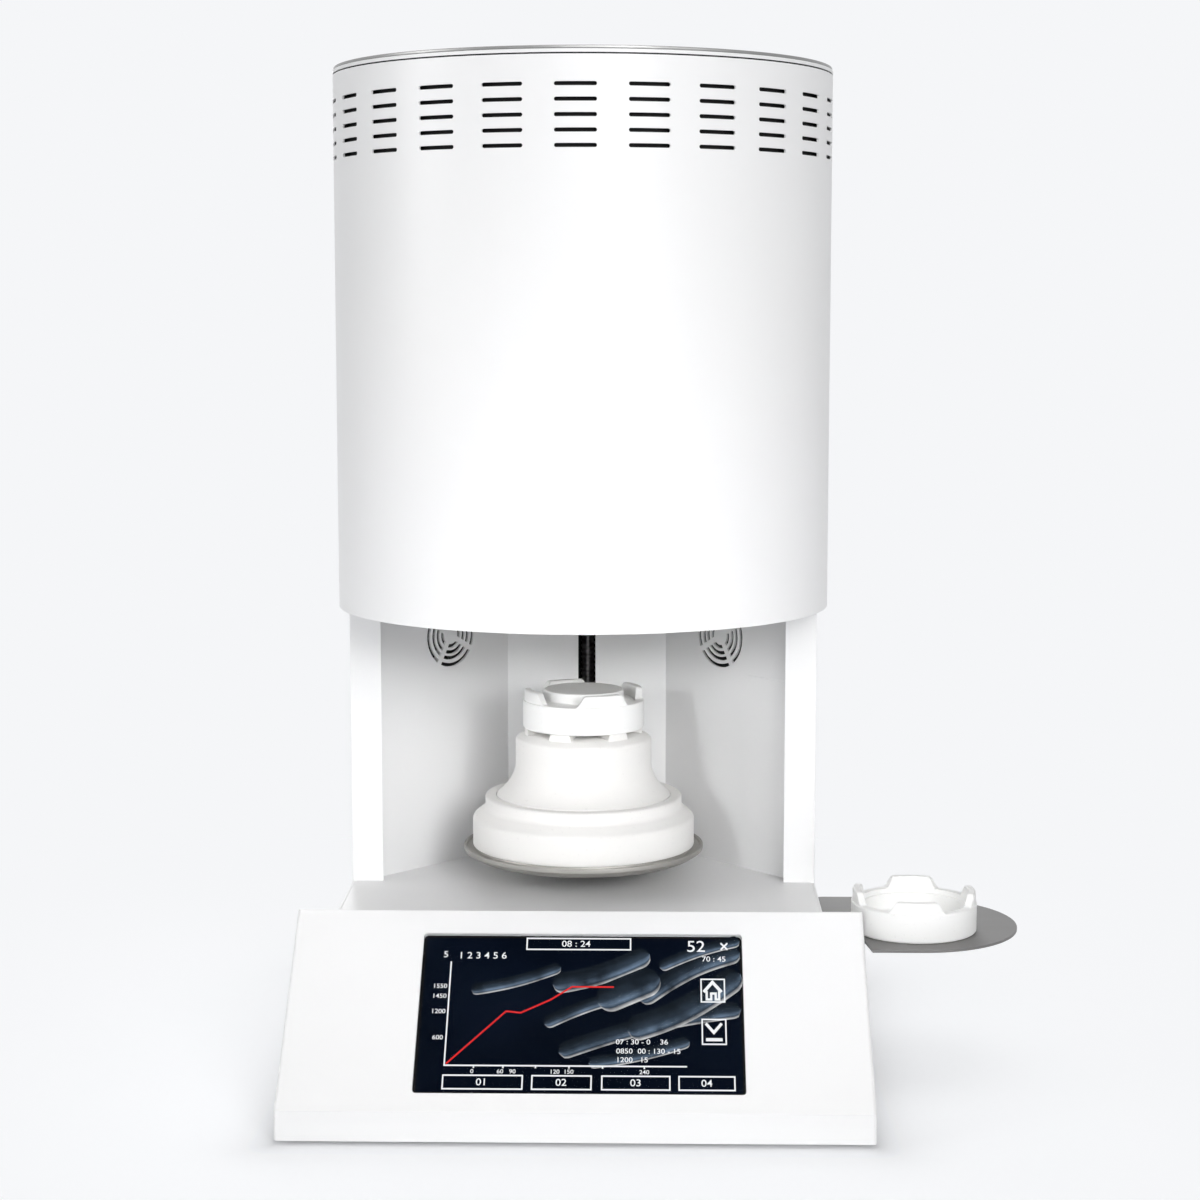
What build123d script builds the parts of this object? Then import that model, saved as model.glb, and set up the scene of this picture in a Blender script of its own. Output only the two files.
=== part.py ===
from build123d import *
import math
import os

# Dental lab furnace with a bottom-loading chamber, in millimetres.
# The furnace head is a slotted cylinder carried on a folded housing.
# A lift plate with an insulation block and a pedestal rises into the head.
# All pieces are modelled about the head's axis, with the table at z = 0,
# +X to the right and -Y towards the user. They are written about the middle
# of the whole furnace's footprint.

os.makedirs("parts", exist_ok=True)

# ---------------------------------------------------------------- clearances
running_gap = 0.05        # radial gap of a shaft in its bore
curved_gap = 0.3          # gap between curved faces of different bodies
panel_gap = 0.5           # gap round a panel that drops into an opening
plate_rim_gap = 2.0       # lift plate's top to the head's rim, at the top of the travel
lower_block_gap = 6.0     # nut's flange to the lower rod block, at the bottom of the travel
coupler_gap = 2.0         # round the coupler and above it
motor_floor_gap = 5.0     # motor to the base pan
arm_panel_gap = 2.0       # arm's web to the back of the inner panel

# --------------------------------------------------------------------- head
head_radius = 200.0
head_wall = 1.5
head_height = 423.3       # bottom rim to the seam under the cap
head_bottom_thickness = 2.0
bottom_hole_margin = 1.0  # the bottom plate's hole is this much wider than the mouth
vent_groups = 23
vent_rows = 5
vent_first_row = 21.0     # seam to the middle of the top row
vent_row_pitch = 11.0
vent_slot_length = 31.4
vent_slot_height = 3.0
cap_gasket_thickness = 1.2
cap_gasket_inset = 0.8
cap_gasket_width = 8.2
cap_thickness = 2.5
trim_ring_thickness = 2.6
trim_ring_width = 3.5
trim_ring_inset = 0.6
cap_vent_count = 12
cap_vent_radius = 24.0
cap_vent_length = 16.0
cap_vent_width = 4.0

# --------------------------------------------------------------- insulation
mouth_bore = 94.5
mouth_ring_radius = 180.0
mouth_ring_height = 28.0
step_bore = 84.0
step_height = 16.0
chamber_bore = 76.0
chamber_height = 198.0    # from the mouth ring's top
chamber_wall = 34.0
insulation_top_height = 40.0
element_count = 6
element_radius = 64.5     # distance of each leg from the axis
element_wire = 4.0
element_terminal = 9.0
element_leg_spread = 22.0 # angle between the two legs of one element, degrees
element_top_gap = 26.0    # chamber roof to where the thin wire starts, in the plug
element_drop = 118.0      # chamber roof to the lowest point of the loop
element_terminal_rise = 48.0
element_hole_gap = 0.8
holder_radius = 10.0
holder_height = 12.0
strap_thickness = 1.6
strap_height = 12.0
thermocouple_radius = 3.5
thermocouple_reach = 40.0 # chamber roof to the tip
thermocouple_head_radius = 14.0
thermocouple_head_height = 30.0
thermocouple_head_rise = 22.0
thermocouple_collar = 4.0

# ------------------------------------------------------------------ housing
foot_height = 3.0
foot_radius = 14.0
sheet = 2.0               # housing sheet thickness
console_width = 446.0
console_front = 255.5     # distance of the console's front face from the axis
console_lip = 22.9        # height of the console's upright front face
deck_front = 114.4        # distance of the deck's front edge from the axis
console_back = 112.0      # distance of the console's back wall from the axis
deck_height = 142.0
console_edge = 3.0
console_opening_edge = 20.0 # round the opening in the console's back wall
body_width = 383.0
column_front = 15.5       # distance of the column fronts from the axis
column_width = 25.5
body_back = 192.0         # distance of the rear cover's outside from the axis
working_height = 232.0    # deck to the head's rim
pan_thickness = 2.0
pan_lip = 12.0
panel_outer_half = 180.0  # inner panel, where it meets the columns
panel_back_half = 69.0    # half width of its middle
panel_back_depth = 112.0  # distance of its middle behind the axis
arm_slot_width = 15.0
slot_floor_gap = 2.0
post_size = 20.0
post_wall = 2.0
post_front_depth = 60.0
post_rear_depth = 168.0
access_width = 48.0
access_height = 148.0
access_rise = 18.0
access_edge = 18.0        # from the panel's outer edge
access_thickness = 1.0
access_corner = 2.0
rear_slot_columns = 8
rear_slot_rows = 4
rear_slot_length = 26.0
rear_slot_height = 4.0
rear_slot_pitch_x = 34.0
rear_slot_pitch_z = 12.0
rear_slot_centre = 290.0
screw_head_radius = 3.6
screw_head_height = 2.2
screw_shank_radius = 2.0
screw_socket = 3.0
screw_edge = 12.0

# ------------------------------------------------------------------ display
glass_width = 248.0
glass_thickness = 3.0
glass_offset = 3.0        # the glass sits this far right of the middle
glass_from_top = 22.0     # slope's top edge to the glass
glass_from_bottom = 16.725 # slope's bottom edge to the glass
glass_corner = 3.0
display_depth = 9.0
display_rim = 5.0
display_bracket_width = 12.0
display_bracket_sheet = 2.0
board_width = 150.0
board_depth = 90.0
board_thickness = 1.6
board_standoff = 10.0
board_distance = 175.0    # distance of the board's middle from the axis
chip_height = 5.0
board_hole_inset = 6.0
standoff_radius = 3.0

# -------------------------------------------------------------------- fans
fan_size = 60.0
fan_depth = 25.0
fan_bore = 57.0
fan_from_fold = 69.0      # inner panel's fold to the fan's axis
fan_below_head = 36.0
fan_hub_radius = 13.0
fan_blade_radius = 26.5
fan_blade_count = 7
fan_blade_thickness = 1.4
fan_blade_pitch = 35.0
fan_blade_root = 2.0      # how far a blade reaches into the hub
fan_corner = 4.0
fan_strut_depth = 3.0
fan_strut_width = 4.0
fan_front_gap = 3.0       # rotor behind the frame's front
fan_back_gap = 1.5        # rotor in front of the struts
fan_pin_start = 5.0       # pin's end behind the frame's front
fan_pin_radius = 2.0
grille_slot = 3.0         # width of each broken ring
grille_ring_1 = 8.0       # inner radius of each broken ring
grille_ring_2 = 13.3
grille_ring_3 = 18.3
grille_ring_4 = 24.2
grille_spoke = 4.5
grille_spoke_turn = 15.0

# --------------------------------------------------------------------- lift
plate_radius = 99.5
plate_thickness = 9.0
plate_edge = 0.6
plate_above_deck = 21.0
block_radius = 92.0
block_band = 23.8
block_cone = 7.9
block_ring_radius = 81.6
block_ring = 9.8
bell_radius = 72.0
bell_socket_depth = 1.5
bell_flare = 23.7
neck_radius = 56.3
neck_height = 24.2
neck_chamfer = 6.4
pedestal_top_radius = 45.7
rib_height = 2.6
rib_count = 6
rib_angle = 22.0
rib_turn = 8.0
arm_width = 12.0
arm_height = 17.0
arm_pad_radius = 42.0
arm_pad_thickness = 6.0
arm_web_depth = 14.0
arm_web_rise = 4.0        # carriage's foot to the web's foot
mast_half = 50.0
mast_front = 118.0
mast_back = 186.0
rod_depth = 150.0         # distance of the rods and the screw behind the axis
rod_spacing = 64.0
rod_radius = 6.0
screw_radius = 6.0
screw_lead = 5.0
carriage_height = 42.0
carriage_width = 88.0
carriage_depth = 36.0
carriage_below_plate = 9.0
bush_radius = 10.5
bush_length = 30.0
nut_radius = 11.0
nut_flange_radius = 15.0
nut_flange = 5.0
nut_length = 28.0
rod_block_height = 12.0
rod_block_depth = 32.0
top_block_gap = 3.0
motor_size = 56.0
motor_plate_thickness = 4.0
motor_shaft_radius = 4.0
motor_shaft_length = 16.0
motor_corner = 5.0
coupler_radius = 11.0
coupler_length = 24.0
coupler_rise = 5.0

# ---------------------------------------------------------------- crucibles
crucible_radius = 50.0
crucible_wall = 7.0
crucible_floor = 6.0
crucible_band = 22.7
lug_inset = 1.2
lug_height = 9.5
lug_first_angle = 22.0
lug_gap_angle = 36.0
lug_slope = 6.0
lid_radius = 42.0
lid_rest = 13.0           # height of the ledge above the crucible's inside floor
lid_ledge = 2.5
lid_flange = 3.5
lid_boss_radius = 33.0
lid_boss = 9.0
lid_edge = 1.0
shelf_height = 121.4
shelf_thickness = 2.0
shelf_radius = 85.0
shelf_centre_out = 43.0   # shelf's middle beyond the console's side
shelf_centre_y = 65.0     # distance in front of the axis
shelf_corner = 11.0
shelf_cut = 42.0
shelf_cut_width = 5.0     # at the front, from the console's side
side_crucible_out = 43.6  # beyond the console's side
side_crucible_y = 82.0
side_crucible_turn = -3.0
bracket_sheet = 2.0
bracket_reach = 62.0
bracket_drop = 34.0
bracket_length = 76.0
bracket_back_inset = 14.0
bracket_gusset_inset = 4.0

# --------------------------------------------------------------- electrics
transformer_width = 90.0
transformer_depth = 76.0
transformer_height = 82.0
transformer_x = 105.0
transformer_y = 20.0
transformer_coil_inset = 12.0
sink_width = 80.0
sink_depth = 70.0
sink_base = 8.0
sink_side_fins = 3        # on each side of the relay
sink_fin_height = 28.0
sink_fin_thickness = 2.0
sink_x = 110.0
sink_y = 10.0
relay_width = 45.0
relay_depth = 58.0
relay_height = 23.0
inlet_width = 34.0
inlet_height = 28.0
inlet_flange_x = 60.0
inlet_flange_z = 36.0
inlet_flange = 3.0
inlet_depth = 26.0
inlet_wall = 3.0
inlet_corner = 5.0
inlet_pin_pitch = 8.0
inlet_pin_width = 2.0
inlet_pin_height = 7.0
inlet_pin_recess = 4.0
inlet_x = 125.0
inlet_z = 48.0
switch_x = 70.0
switch_width = 22.0
switch_height = 30.0
switch_flange = 3.0
switch_border = 3.0
switch_depth = 20.0
switch_wall = 2.0
rocker_tilt = 12.0
rocker_proud = 3.0
rocker_pin_radius = 1.5
rocker_pin_depth = 1.0    # pin behind the rear cover's face
rocker_end_gap = 1.2
rocker_foot = 5.0
rocker_edge = 1.0
fuse_x = 75.0
fuse_pitch = 24.0
fuse_radius = 7.0
fuse_flange = 9.0
fuse_flange_thickness = 2.0
fuse_cap = 5.0
fuse_depth = 24.0
fuse_cap_inset = 0.5
fuse_slot_width = 1.5
fuse_slot_depth = 1.0

# ---------------------------------------------------- heights worked out once
pan_bottom = foot_height
pan_top = pan_bottom + pan_thickness
console_lip_top = pan_bottom + console_lip
rim_z = deck_height + working_height
seam_z = rim_z + head_height
bottom_plate_z = rim_z
bottom_plate_top = bottom_plate_z + head_bottom_thickness
mouth_top = bottom_plate_top + mouth_ring_height
roof_z = mouth_top + chamber_height
plug_top = roof_z + insulation_top_height
gasket_top = seam_z + cap_gasket_thickness
cap_top = gasket_top + cap_thickness
trim_top = cap_top + trim_ring_thickness
body_half = body_width / 2
inner_half = body_half - sheet
back_inside = body_back - sheet
post_x = inner_half - sheet - post_size / 2
plate_bottom = deck_height + plate_above_deck
plate_top = plate_bottom + plate_thickness
shoulder_z = plate_top + block_band
ring_bottom = shoulder_z + block_cone
ring_top = ring_bottom + block_ring
bell_bottom = ring_top - bell_socket_depth
neck_bottom = ring_top + bell_flare
neck_top = neck_bottom + neck_height
pedestal_top = neck_top + neck_chamfer
crucible_bottom = pedestal_top + rib_height
carriage_top = plate_bottom - carriage_below_plate
carriage_low = carriage_top - carriage_height
lift_travel = rim_z - plate_rim_gap - plate_top
lower_block_top = carriage_low - nut_flange - lower_block_gap
lower_block_low = lower_block_top - rod_block_height
upper_block_low = carriage_top + lift_travel + top_block_gap
upper_block_top = upper_block_low + rod_block_height
coupler_top = lower_block_low - coupler_gap
coupler_low = coupler_top - coupler_length
motor_plate_low = coupler_low - coupler_rise
motor_plate_top = motor_plate_low + motor_plate_thickness
motor_low = pan_top + motor_floor_gap
shelf_centre_x = console_width / 2 + shelf_centre_out
side_crucible_x = console_width / 2 + side_crucible_out
slope_run = console_front - deck_front
slope_rise = deck_height - console_lip_top
slope_angle = math.atan2(slope_rise, slope_run)
slope_length = math.hypot(slope_run, slope_rise)
glass_height = slope_length - glass_from_top - glass_from_bottom

# ------------------------------------------- middle of the whole footprint
x_least = -console_width / 2
x_most = max(console_width / 2, shelf_centre_x + shelf_radius, head_radius)
y_least = -console_front
y_most = max(head_radius, body_back + inlet_flange)
footprint_shift = Pos(-(x_least + x_most) / 2, -(y_least + y_most) / 2, 0)

made = []


def keep(name, shape):
    """Write one piece to its own file, about the middle of the footprint."""
    if isinstance(shape, (list, tuple)):
        placed = Compound(children=[footprint_shift * one for one in shape])
    else:
        placed = footprint_shift * shape
    export_step(placed, "parts/" + name + ".step")
    made.append(name)


def block(x0, x1, y0, y1, z0, z1):
    """A box between two corners."""
    centre = Pos((x0 + x1) / 2, (y0 + y1) / 2, (z0 + z1) / 2)
    return centre * Box(abs(x1 - x0), abs(y1 - y0), abs(z1 - z0))


def disc(radius, z0, z1, x=0.0, y=0.0):
    """An upright cylinder between two heights."""
    return Pos(x, y, (z0 + z1) / 2) * Cylinder(radius, z1 - z0)


def ring(outer, inner, z0, z1, x=0.0, y=0.0):
    """An upright tube between two heights."""
    return disc(outer, z0, z1, x, y) - disc(inner, z0 - 1, z1 + 1, x, y)


def turned(points):
    """A solid turned about the head's axis from (radius, height) points."""
    outline = Polyline(*[(r, 0, z) for r, z in points], close=True)
    return revolve(make_face(outline), Axis.Z)


def around(shape, count, start=0.0):
    """Copies of a shape spaced evenly about the head's axis."""
    step = 360.0 / count
    return [Rot(0, 0, start + i * step) * shape for i in range(count)]


def prism_x(points, width):
    """A solid with a side profile of (y, z) points, centred on X."""
    outline = Polyline(*[(0, y, z) for y, z in points], close=True)
    return extrude(make_face(outline), width / 2, dir=(1, 0, 0), both=True)


def prism_z(points, z0, z1):
    """A solid with a plan of (x, y) points."""
    outline = Polyline(*[(x, y, z0) for x, y in points], close=True)
    return extrude(make_face(outline), z1 - z0, dir=(0, 0, 1))


def screw(length):
    """A socket head screw that points down, its seat at the origin."""
    head = disc(screw_head_radius, 0, screw_head_height)
    shank = disc(screw_shank_radius, -length, 0)
    hexagon = RegularPolygon(screw_socket / 2, 6)
    socket = Pos(0, 0, screw_head_height) * extrude(hexagon, -screw_head_height / 2)
    return head + shank - socket


# ============================================================ head
shell = ring(head_radius, head_radius - head_wall, rim_z, seam_z)
slot_face = Plane(origin=(0, -head_radius, 0), x_dir=(1, 0, 0), z_dir=(0, -1, 0))
slot_flat = slot_face * SlotOverall(vent_slot_length, vent_slot_height)
slot_cutter = extrude(slot_flat, 3 * head_wall, both=True)
vent_cutters = []
for row in range(vent_rows):
    height = seam_z - vent_first_row - row * vent_row_pitch
    vent_cutters += around(Pos(0, 0, height) * slot_cutter, vent_groups)
shell = shell - vent_cutters
keep("head_shell", shell)

bottom_radius = head_radius - head_wall
bottom_hole = mouth_bore + bottom_hole_margin
bottom_plate = ring(bottom_radius, bottom_hole, bottom_plate_z, bottom_plate_top)
keep("head_bottom_plate", bottom_plate)

mouth_ring = ring(mouth_ring_radius, mouth_bore, bottom_plate_top, mouth_top)
keep("mouth_ring", mouth_ring)

chamber_outer = chamber_bore + chamber_wall
chamber = turned([
    (step_bore, mouth_top),
    (chamber_outer, mouth_top),
    (chamber_outer, roof_z),
    (chamber_bore, roof_z),
    (chamber_bore, mouth_top + step_height),
    (step_bore, mouth_top + step_height),
])
keep("chamber_insulation", chamber)

outer_insulation = ring(mouth_ring_radius, chamber_outer, mouth_top, plug_top)
keep("outer_insulation", outer_insulation)

plug = disc(chamber_outer, roof_z, plug_top)
leg_angles = []
for index in range(element_count):
    middle = index * 360.0 / element_count
    leg_angles.append(middle - element_leg_spread / 2)
    leg_angles.append(middle + element_leg_spread / 2)
leg_spots = []
for angle in leg_angles:
    a = math.radians(angle)
    leg_spots.append((element_radius * math.sin(a), -element_radius * math.cos(a)))
plug_holes = []
for x, y in leg_spots:
    plug_holes.append(disc(element_terminal / 2 + element_hole_gap, roof_z - 1, plug_top + 1, x, y))
plug_holes.append(disc(thermocouple_radius + element_hole_gap, roof_z - 1, plug_top + 1))
plug = plug - plug_holes
keep("insulation_plug", plug)

leg_half = element_radius * math.sin(math.radians(element_leg_spread / 2))
leg_front = element_radius * math.cos(math.radians(element_leg_spread / 2))
loop_low = roof_z - element_drop
bend_z = loop_low + leg_half
thin_top = roof_z + element_top_gap / 2
terminal_top = plug_top + element_terminal_rise
elements = []
for index in range(element_count):
    left_leg = disc(element_wire / 2, bend_z, thin_top, -leg_half, -leg_front)
    right_leg = disc(element_wire / 2, bend_z, thin_top, leg_half, -leg_front)
    bend = Pos(0, -leg_front, bend_z) * Rot(90, 0, 0) * Torus(leg_half, element_wire / 2)
    bend = bend - block(-element_radius, element_radius, -2 * element_radius, 0,
                        bend_z, bend_z + 2 * leg_half)
    left_end = disc(element_terminal / 2, thin_top, terminal_top, -leg_half, -leg_front)
    right_end = disc(element_terminal / 2, thin_top, terminal_top, leg_half, -leg_front)
    element = left_leg + right_leg + bend + left_end + right_end
    elements.append(Rot(0, 0, index * 360.0 / element_count) * element)
keep("heating_elements", elements)

holders = []
for x, y in leg_spots:
    holders.append(ring(holder_radius, element_terminal / 2, plug_top, plug_top + holder_height, x, y))
keep("element_holders", holders)

strap_z = terminal_top - strap_height
gap_angle = 360.0 / element_count - element_leg_spread
strap_half = element_radius * math.sin(math.radians(gap_angle / 2))
strap_front = element_radius * math.cos(math.radians(gap_angle / 2))
strap_reach = strap_half + element_terminal / 2 + strap_thickness
straps = []
for index in range(element_count):
    bar = block(-strap_reach, strap_reach, -strap_front - strap_thickness / 2,
                -strap_front + strap_thickness / 2, strap_z, terminal_top)
    collar = element_terminal / 2 + strap_thickness
    bar += disc(collar, strap_z, terminal_top, -strap_half, -strap_front)
    bar += disc(collar, strap_z, terminal_top, strap_half, -strap_front)
    bar -= disc(element_terminal / 2, strap_z - 1, terminal_top + 1, -strap_half, -strap_front)
    bar -= disc(element_terminal / 2, strap_z - 1, terminal_top + 1, strap_half, -strap_front)
    straps.append(Rot(0, 0, (index + 0.5) * 360.0 / element_count) * bar)
keep("power_straps", straps)

head_low = plug_top + thermocouple_head_rise
thermocouple = disc(thermocouple_radius, roof_z - thermocouple_reach, head_low)
thermocouple += disc(thermocouple_head_radius, head_low, head_low + thermocouple_head_height)
thermocouple += disc(thermocouple_radius + thermocouple_collar, plug_top, plug_top + holder_height)
keep("thermocouple", thermocouple)

gasket_outer = head_radius - cap_gasket_inset
gasket = ring(gasket_outer, gasket_outer - cap_gasket_width, seam_z, gasket_top)
keep("seam_gasket", gasket)

cap = disc(head_radius, gasket_top, cap_top)
cap_slot = Pos(0, -cap_vent_radius, cap_top) * Rot(0, 0, 90) * extrude(
    SlotOverall(cap_vent_length, cap_vent_width), 2 * cap_thickness, both=True)
cap = cap - around(cap_slot, cap_vent_count)
keep("top_cap", cap)

trim_outer = head_radius - trim_ring_inset
trim = ring(trim_outer, trim_outer - trim_ring_width, cap_top, trim_top)
keep("cap_trim_ring", trim)

# ============================================================ housing
pan_half = console_width / 2 - sheet
pan_front = console_front - sheet
pan = block(-pan_half, pan_half, -pan_front, -console_back, pan_bottom, pan_top)
pan += block(-inner_half, inner_half, -console_back, back_inside, pan_bottom, pan_top)
lip_top = pan_top + pan_lip
pan += block(-pan_half, -pan_half + sheet, -pan_front, -console_back - sheet, pan_top, lip_top)
pan += block(pan_half - sheet, pan_half, -pan_front, -console_back - sheet, pan_top, lip_top)
pan += block(-pan_half, pan_half, -pan_front, -pan_front + sheet, pan_top, lip_top)
pan += block(-inner_half, -inner_half + sheet, -console_back, back_inside, pan_top, lip_top)
pan += block(inner_half - sheet, inner_half, -console_back, back_inside, pan_top, lip_top)
pan += block(-inner_half, inner_half, back_inside - sheet, back_inside, pan_top, lip_top)
keep("base_pan", pan)

foot_spots = [
    (-console_width / 2 + 2 * foot_radius, -console_front + 2 * foot_radius),
    (console_width / 2 - 2 * foot_radius, -console_front + 2 * foot_radius),
    (-body_half + 2 * foot_radius, body_back - 2 * foot_radius),
    (body_half - 2 * foot_radius, body_back - 2 * foot_radius),
]
feet = [disc(foot_radius, 0, foot_height, x, y) for x, y in foot_spots]
keep("rubber_feet", feet)

outer_profile = [
    (-console_front, pan_bottom),
    (-console_front, console_lip_top),
    (-deck_front, deck_height),
    (-console_back, deck_height),
    (-console_back, pan_bottom),
]
wedge = prism_x(outer_profile, console_width)
side_outline = wedge.faces().sort_by(Axis.X)[0].edges() + wedge.faces().sort_by(Axis.X)[-1].edges()
side_outline = side_outline.filter_by(lambda e: abs(e.center().Z - pan_bottom) > 0.5)
side_outline = side_outline.filter_by(lambda e: abs(e.center().Y + console_back) > 0.5)
side_outline = side_outline.filter_by(lambda e: e.length > 2 * console_edge)
wedge = fillet(side_outline, console_edge)
slope_plane = Plane(origin=(0, -deck_front, deck_height), x_dir=(1, 0, 0),
                    z_dir=(0, -math.sin(slope_angle), math.cos(slope_angle)))
inside_top = deck_height - sheet
top_drop = sheet / math.cos(slope_angle)
slope_inside_y = -deck_front - (sheet - top_drop) / math.tan(slope_angle)
front_inside_z = console_lip_top - top_drop + sheet * math.tan(slope_angle)
inner_profile = [
    (-console_front + sheet, pan_bottom - 1),
    (-console_front + sheet, front_inside_z),
    (min(slope_inside_y, -console_back - sheet - 0.1), inside_top),
    (-console_back - sheet, inside_top),
    (-console_back - sheet, pan_bottom - 1),
]
console = wedge - prism_x(inner_profile, console_width - 2 * sheet)
glass_middle = -(glass_from_top + glass_height / 2)
opening_w = glass_width + 2 * panel_gap
opening_h = glass_height + 2 * panel_gap
glass_place = Pos(glass_offset, glass_middle)
opening_flat = glass_place * RectangleRounded(opening_w, opening_h, glass_corner)
opening = extrude(slope_plane * opening_flat, 3 * sheet, both=True)
console = console - opening
console = console - block(-pan_half, pan_half, -console_back - 2 * sheet, -console_back + 1,
                          pan_bottom - 1, pan_top)
console = console - block(-inner_half + console_opening_edge, inner_half - console_opening_edge,
                          -console_back - 2 * sheet, -console_back + 1,
                          pan_top + pan_lip, deck_height - console_opening_edge)
keep("console_cover", console)

glass_flat = slope_plane * (glass_place * RectangleRounded(glass_width, glass_height, glass_corner))
glass = extrude(glass_flat, -glass_thickness)
keep("display_glass", glass)

panel_flat = Pos(glass_offset, glass_middle, -glass_thickness) * RectangleRounded(
    glass_width - 2 * display_rim, glass_height - 2 * display_rim, glass_corner)
display = extrude(slope_plane * panel_flat, -display_depth)
keep("display_panel", display)

bracket_w = glass_width + 2 * display_bracket_width
bracket_h = glass_height + 2 * display_bracket_width
rim_flat = Pos(glass_offset, glass_middle, -sheet) * RectangleRounded(bracket_w, bracket_h, glass_corner)
rim_hole = Pos(glass_offset, glass_middle, -sheet) * RectangleRounded(opening_w, opening_h, glass_corner)
rim = extrude(slope_plane * (rim_flat - rim_hole), -(glass_thickness - sheet))
behind_glass = Pos(glass_offset, glass_middle, -glass_thickness)
back_flat = behind_glass * RectangleRounded(bracket_w, bracket_h, glass_corner)
back_hole = behind_glass * RectangleRounded(
    glass_width - 2 * display_rim, glass_height - 2 * display_rim, glass_corner)
display_bracket = rim + extrude(slope_plane * (back_flat - back_hole), -display_bracket_sheet)
keep("display_bracket", display_bracket)

board_bottom = pan_top + board_standoff
board = block(-board_width / 2, board_width / 2, -board_distance - board_depth / 2,
              -board_distance + board_depth / 2, board_bottom, board_bottom + board_thickness)
for side_x in (-1, 1):
    for side_y in (-1, 1):
        spot_x = side_x * (board_width / 2 - board_hole_inset)
        spot_y = -board_distance + side_y * (board_depth / 2 - board_hole_inset)
        board += disc(standoff_radius, pan_top, board_bottom, spot_x, spot_y)
# Each chip's middle and size as shares of the board's width and depth
chips = [
    (-0.267, -0.167, 0.2, 0.333),
    (0.133, 0.111, 0.16, 0.267),
    (0.333, -0.222, 0.12, 0.333),
    (-0.133, 0.278, 0.267, 0.133),
]
for chip in chips:
    cx, cy, cw, cd = (share * size for share, size in zip(chip, (board_width, board_depth) * 2))
    board += block(cx - cw / 2, cx + cw / 2, -board_distance + cy - cd / 2, -board_distance + cy + cd / 2,
                   board_bottom + board_thickness, board_bottom + board_thickness + chip_height)
keep("control_board", board)

# Deck, side panels, inner panel and rear cover
deck_low = deck_height - sheet
deck = block(-inner_half, inner_half, -console_back, back_inside, deck_low, deck_height)
deck -= block(-mast_half - panel_gap, mast_half + panel_gap, mast_front - panel_gap,
              back_inside + 1, deck_low - 1, deck_height + 1)
post_spots = []
for side in (-1, 1):
    for depth in (post_front_depth, post_rear_depth):
        post_spots.append((side * post_x, depth))
for x, y in post_spots:
    half = post_size / 2 + panel_gap
    deck -= block(x - half, x + half, y - half, y + half, deck_low - 1, deck_height + 1)
keep("deck_plate", deck)

side_profile = [
    (-console_back, pan_bottom),
    (back_inside, pan_bottom),
    (back_inside, rim_z),
    (-column_front, rim_z),
    (-column_front, deck_height),
    (-console_back, deck_height),
]


def side_panel(side):
    """A side wall with the flange that makes the front column."""
    wall = Pos(side * (body_half - sheet / 2), 0, 0) * prism_x(side_profile, sheet)
    flange = block(side * inner_half, side * (body_half - column_width),
                   -column_front, -column_front + sheet, deck_height, rim_z)
    return wall + flange


keep("side_panel_left", side_panel(-1))
keep("side_panel_right", side_panel(1))

post_height_top = rim_z - sheet
posts = []
for x, y in post_spots:
    tube = block(x - post_size / 2, x + post_size / 2, y - post_size / 2, y + post_size / 2,
                 pan_top, post_height_top)
    bore = post_size / 2 - post_wall
    tube -= block(x - bore, x + bore, y - bore, y + bore, pan_top - 1, post_height_top + 1)
    posts.append(tube)
keep("frame_posts", posts)

panel_front = -column_front + sheet
space_plan = [
    (-panel_outer_half, panel_front),
    (-panel_back_half, panel_back_depth),
    (panel_back_half, panel_back_depth),
    (panel_outer_half, panel_front),
]
panel_run = panel_outer_half - panel_back_half
panel_rise = panel_back_depth - panel_front
panel_length = math.hypot(panel_run, panel_rise)
across = (-panel_run / panel_length, panel_rise / panel_length)
outward = (panel_rise / panel_length, panel_run / panel_length)
corner_turn = math.atan2(panel_rise, panel_run)
corner_push = sheet * math.tan(corner_turn / 2)
sheet_plan = [
    (-panel_outer_half - sheet / outward[0], panel_front),
    (-panel_back_half - corner_push, panel_back_depth + sheet),
    (panel_back_half + corner_push, panel_back_depth + sheet),
    (panel_outer_half + sheet / outward[0], panel_front),
]
panel_top = rim_z - sheet
inner_panel = prism_z(sheet_plan, deck_height, panel_top)
inner_panel -= prism_z(space_plan, deck_height - 1, panel_top + 1)
slot_low = deck_height + slot_floor_gap
inner_panel -= block(-arm_slot_width / 2, arm_slot_width / 2, panel_back_depth - 1,
                     panel_back_depth + sheet + 1, slot_low, panel_top + 1)

fan_z = rim_z - fan_below_head
fan_x = panel_back_half + fan_from_fold * panel_run / panel_length
fan_y = panel_back_depth - fan_from_fold * panel_rise / panel_length


def fan_plane(side, offset=0.0):
    """The inner panel's front face at a fan's axis, facing backwards."""
    normal = (side * outward[0], outward[1], 0)
    point = (side * fan_x + normal[0] * offset, fan_y + normal[1] * offset, fan_z)
    return Plane(origin=point, x_dir=(0, 0, 1), z_dir=normal)


def grille_cutter(side):
    """Four broken rings of slots through the inner panel."""
    rings = []
    for inner in (grille_ring_1, grille_ring_2, grille_ring_3, grille_ring_4):
        band = Circle(inner + grille_slot) - Circle(inner)
        for k in range(2):
            spoke = Rot(0, 0, side * grille_spoke_turn + 45 + 90 * k) * Rectangle(2 * fan_size, grille_spoke)
            band = band - spoke
        rings.append(band)
    cutters = []
    for band in rings:
        cutters.append(extrude(fan_plane(side, -1.0) * band, sheet + 2.0))
    return cutters


for side in (-1, 1):
    for cutter in grille_cutter(side):
        inner_panel = inner_panel - cutter
keep("inner_panel", inner_panel)

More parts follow.
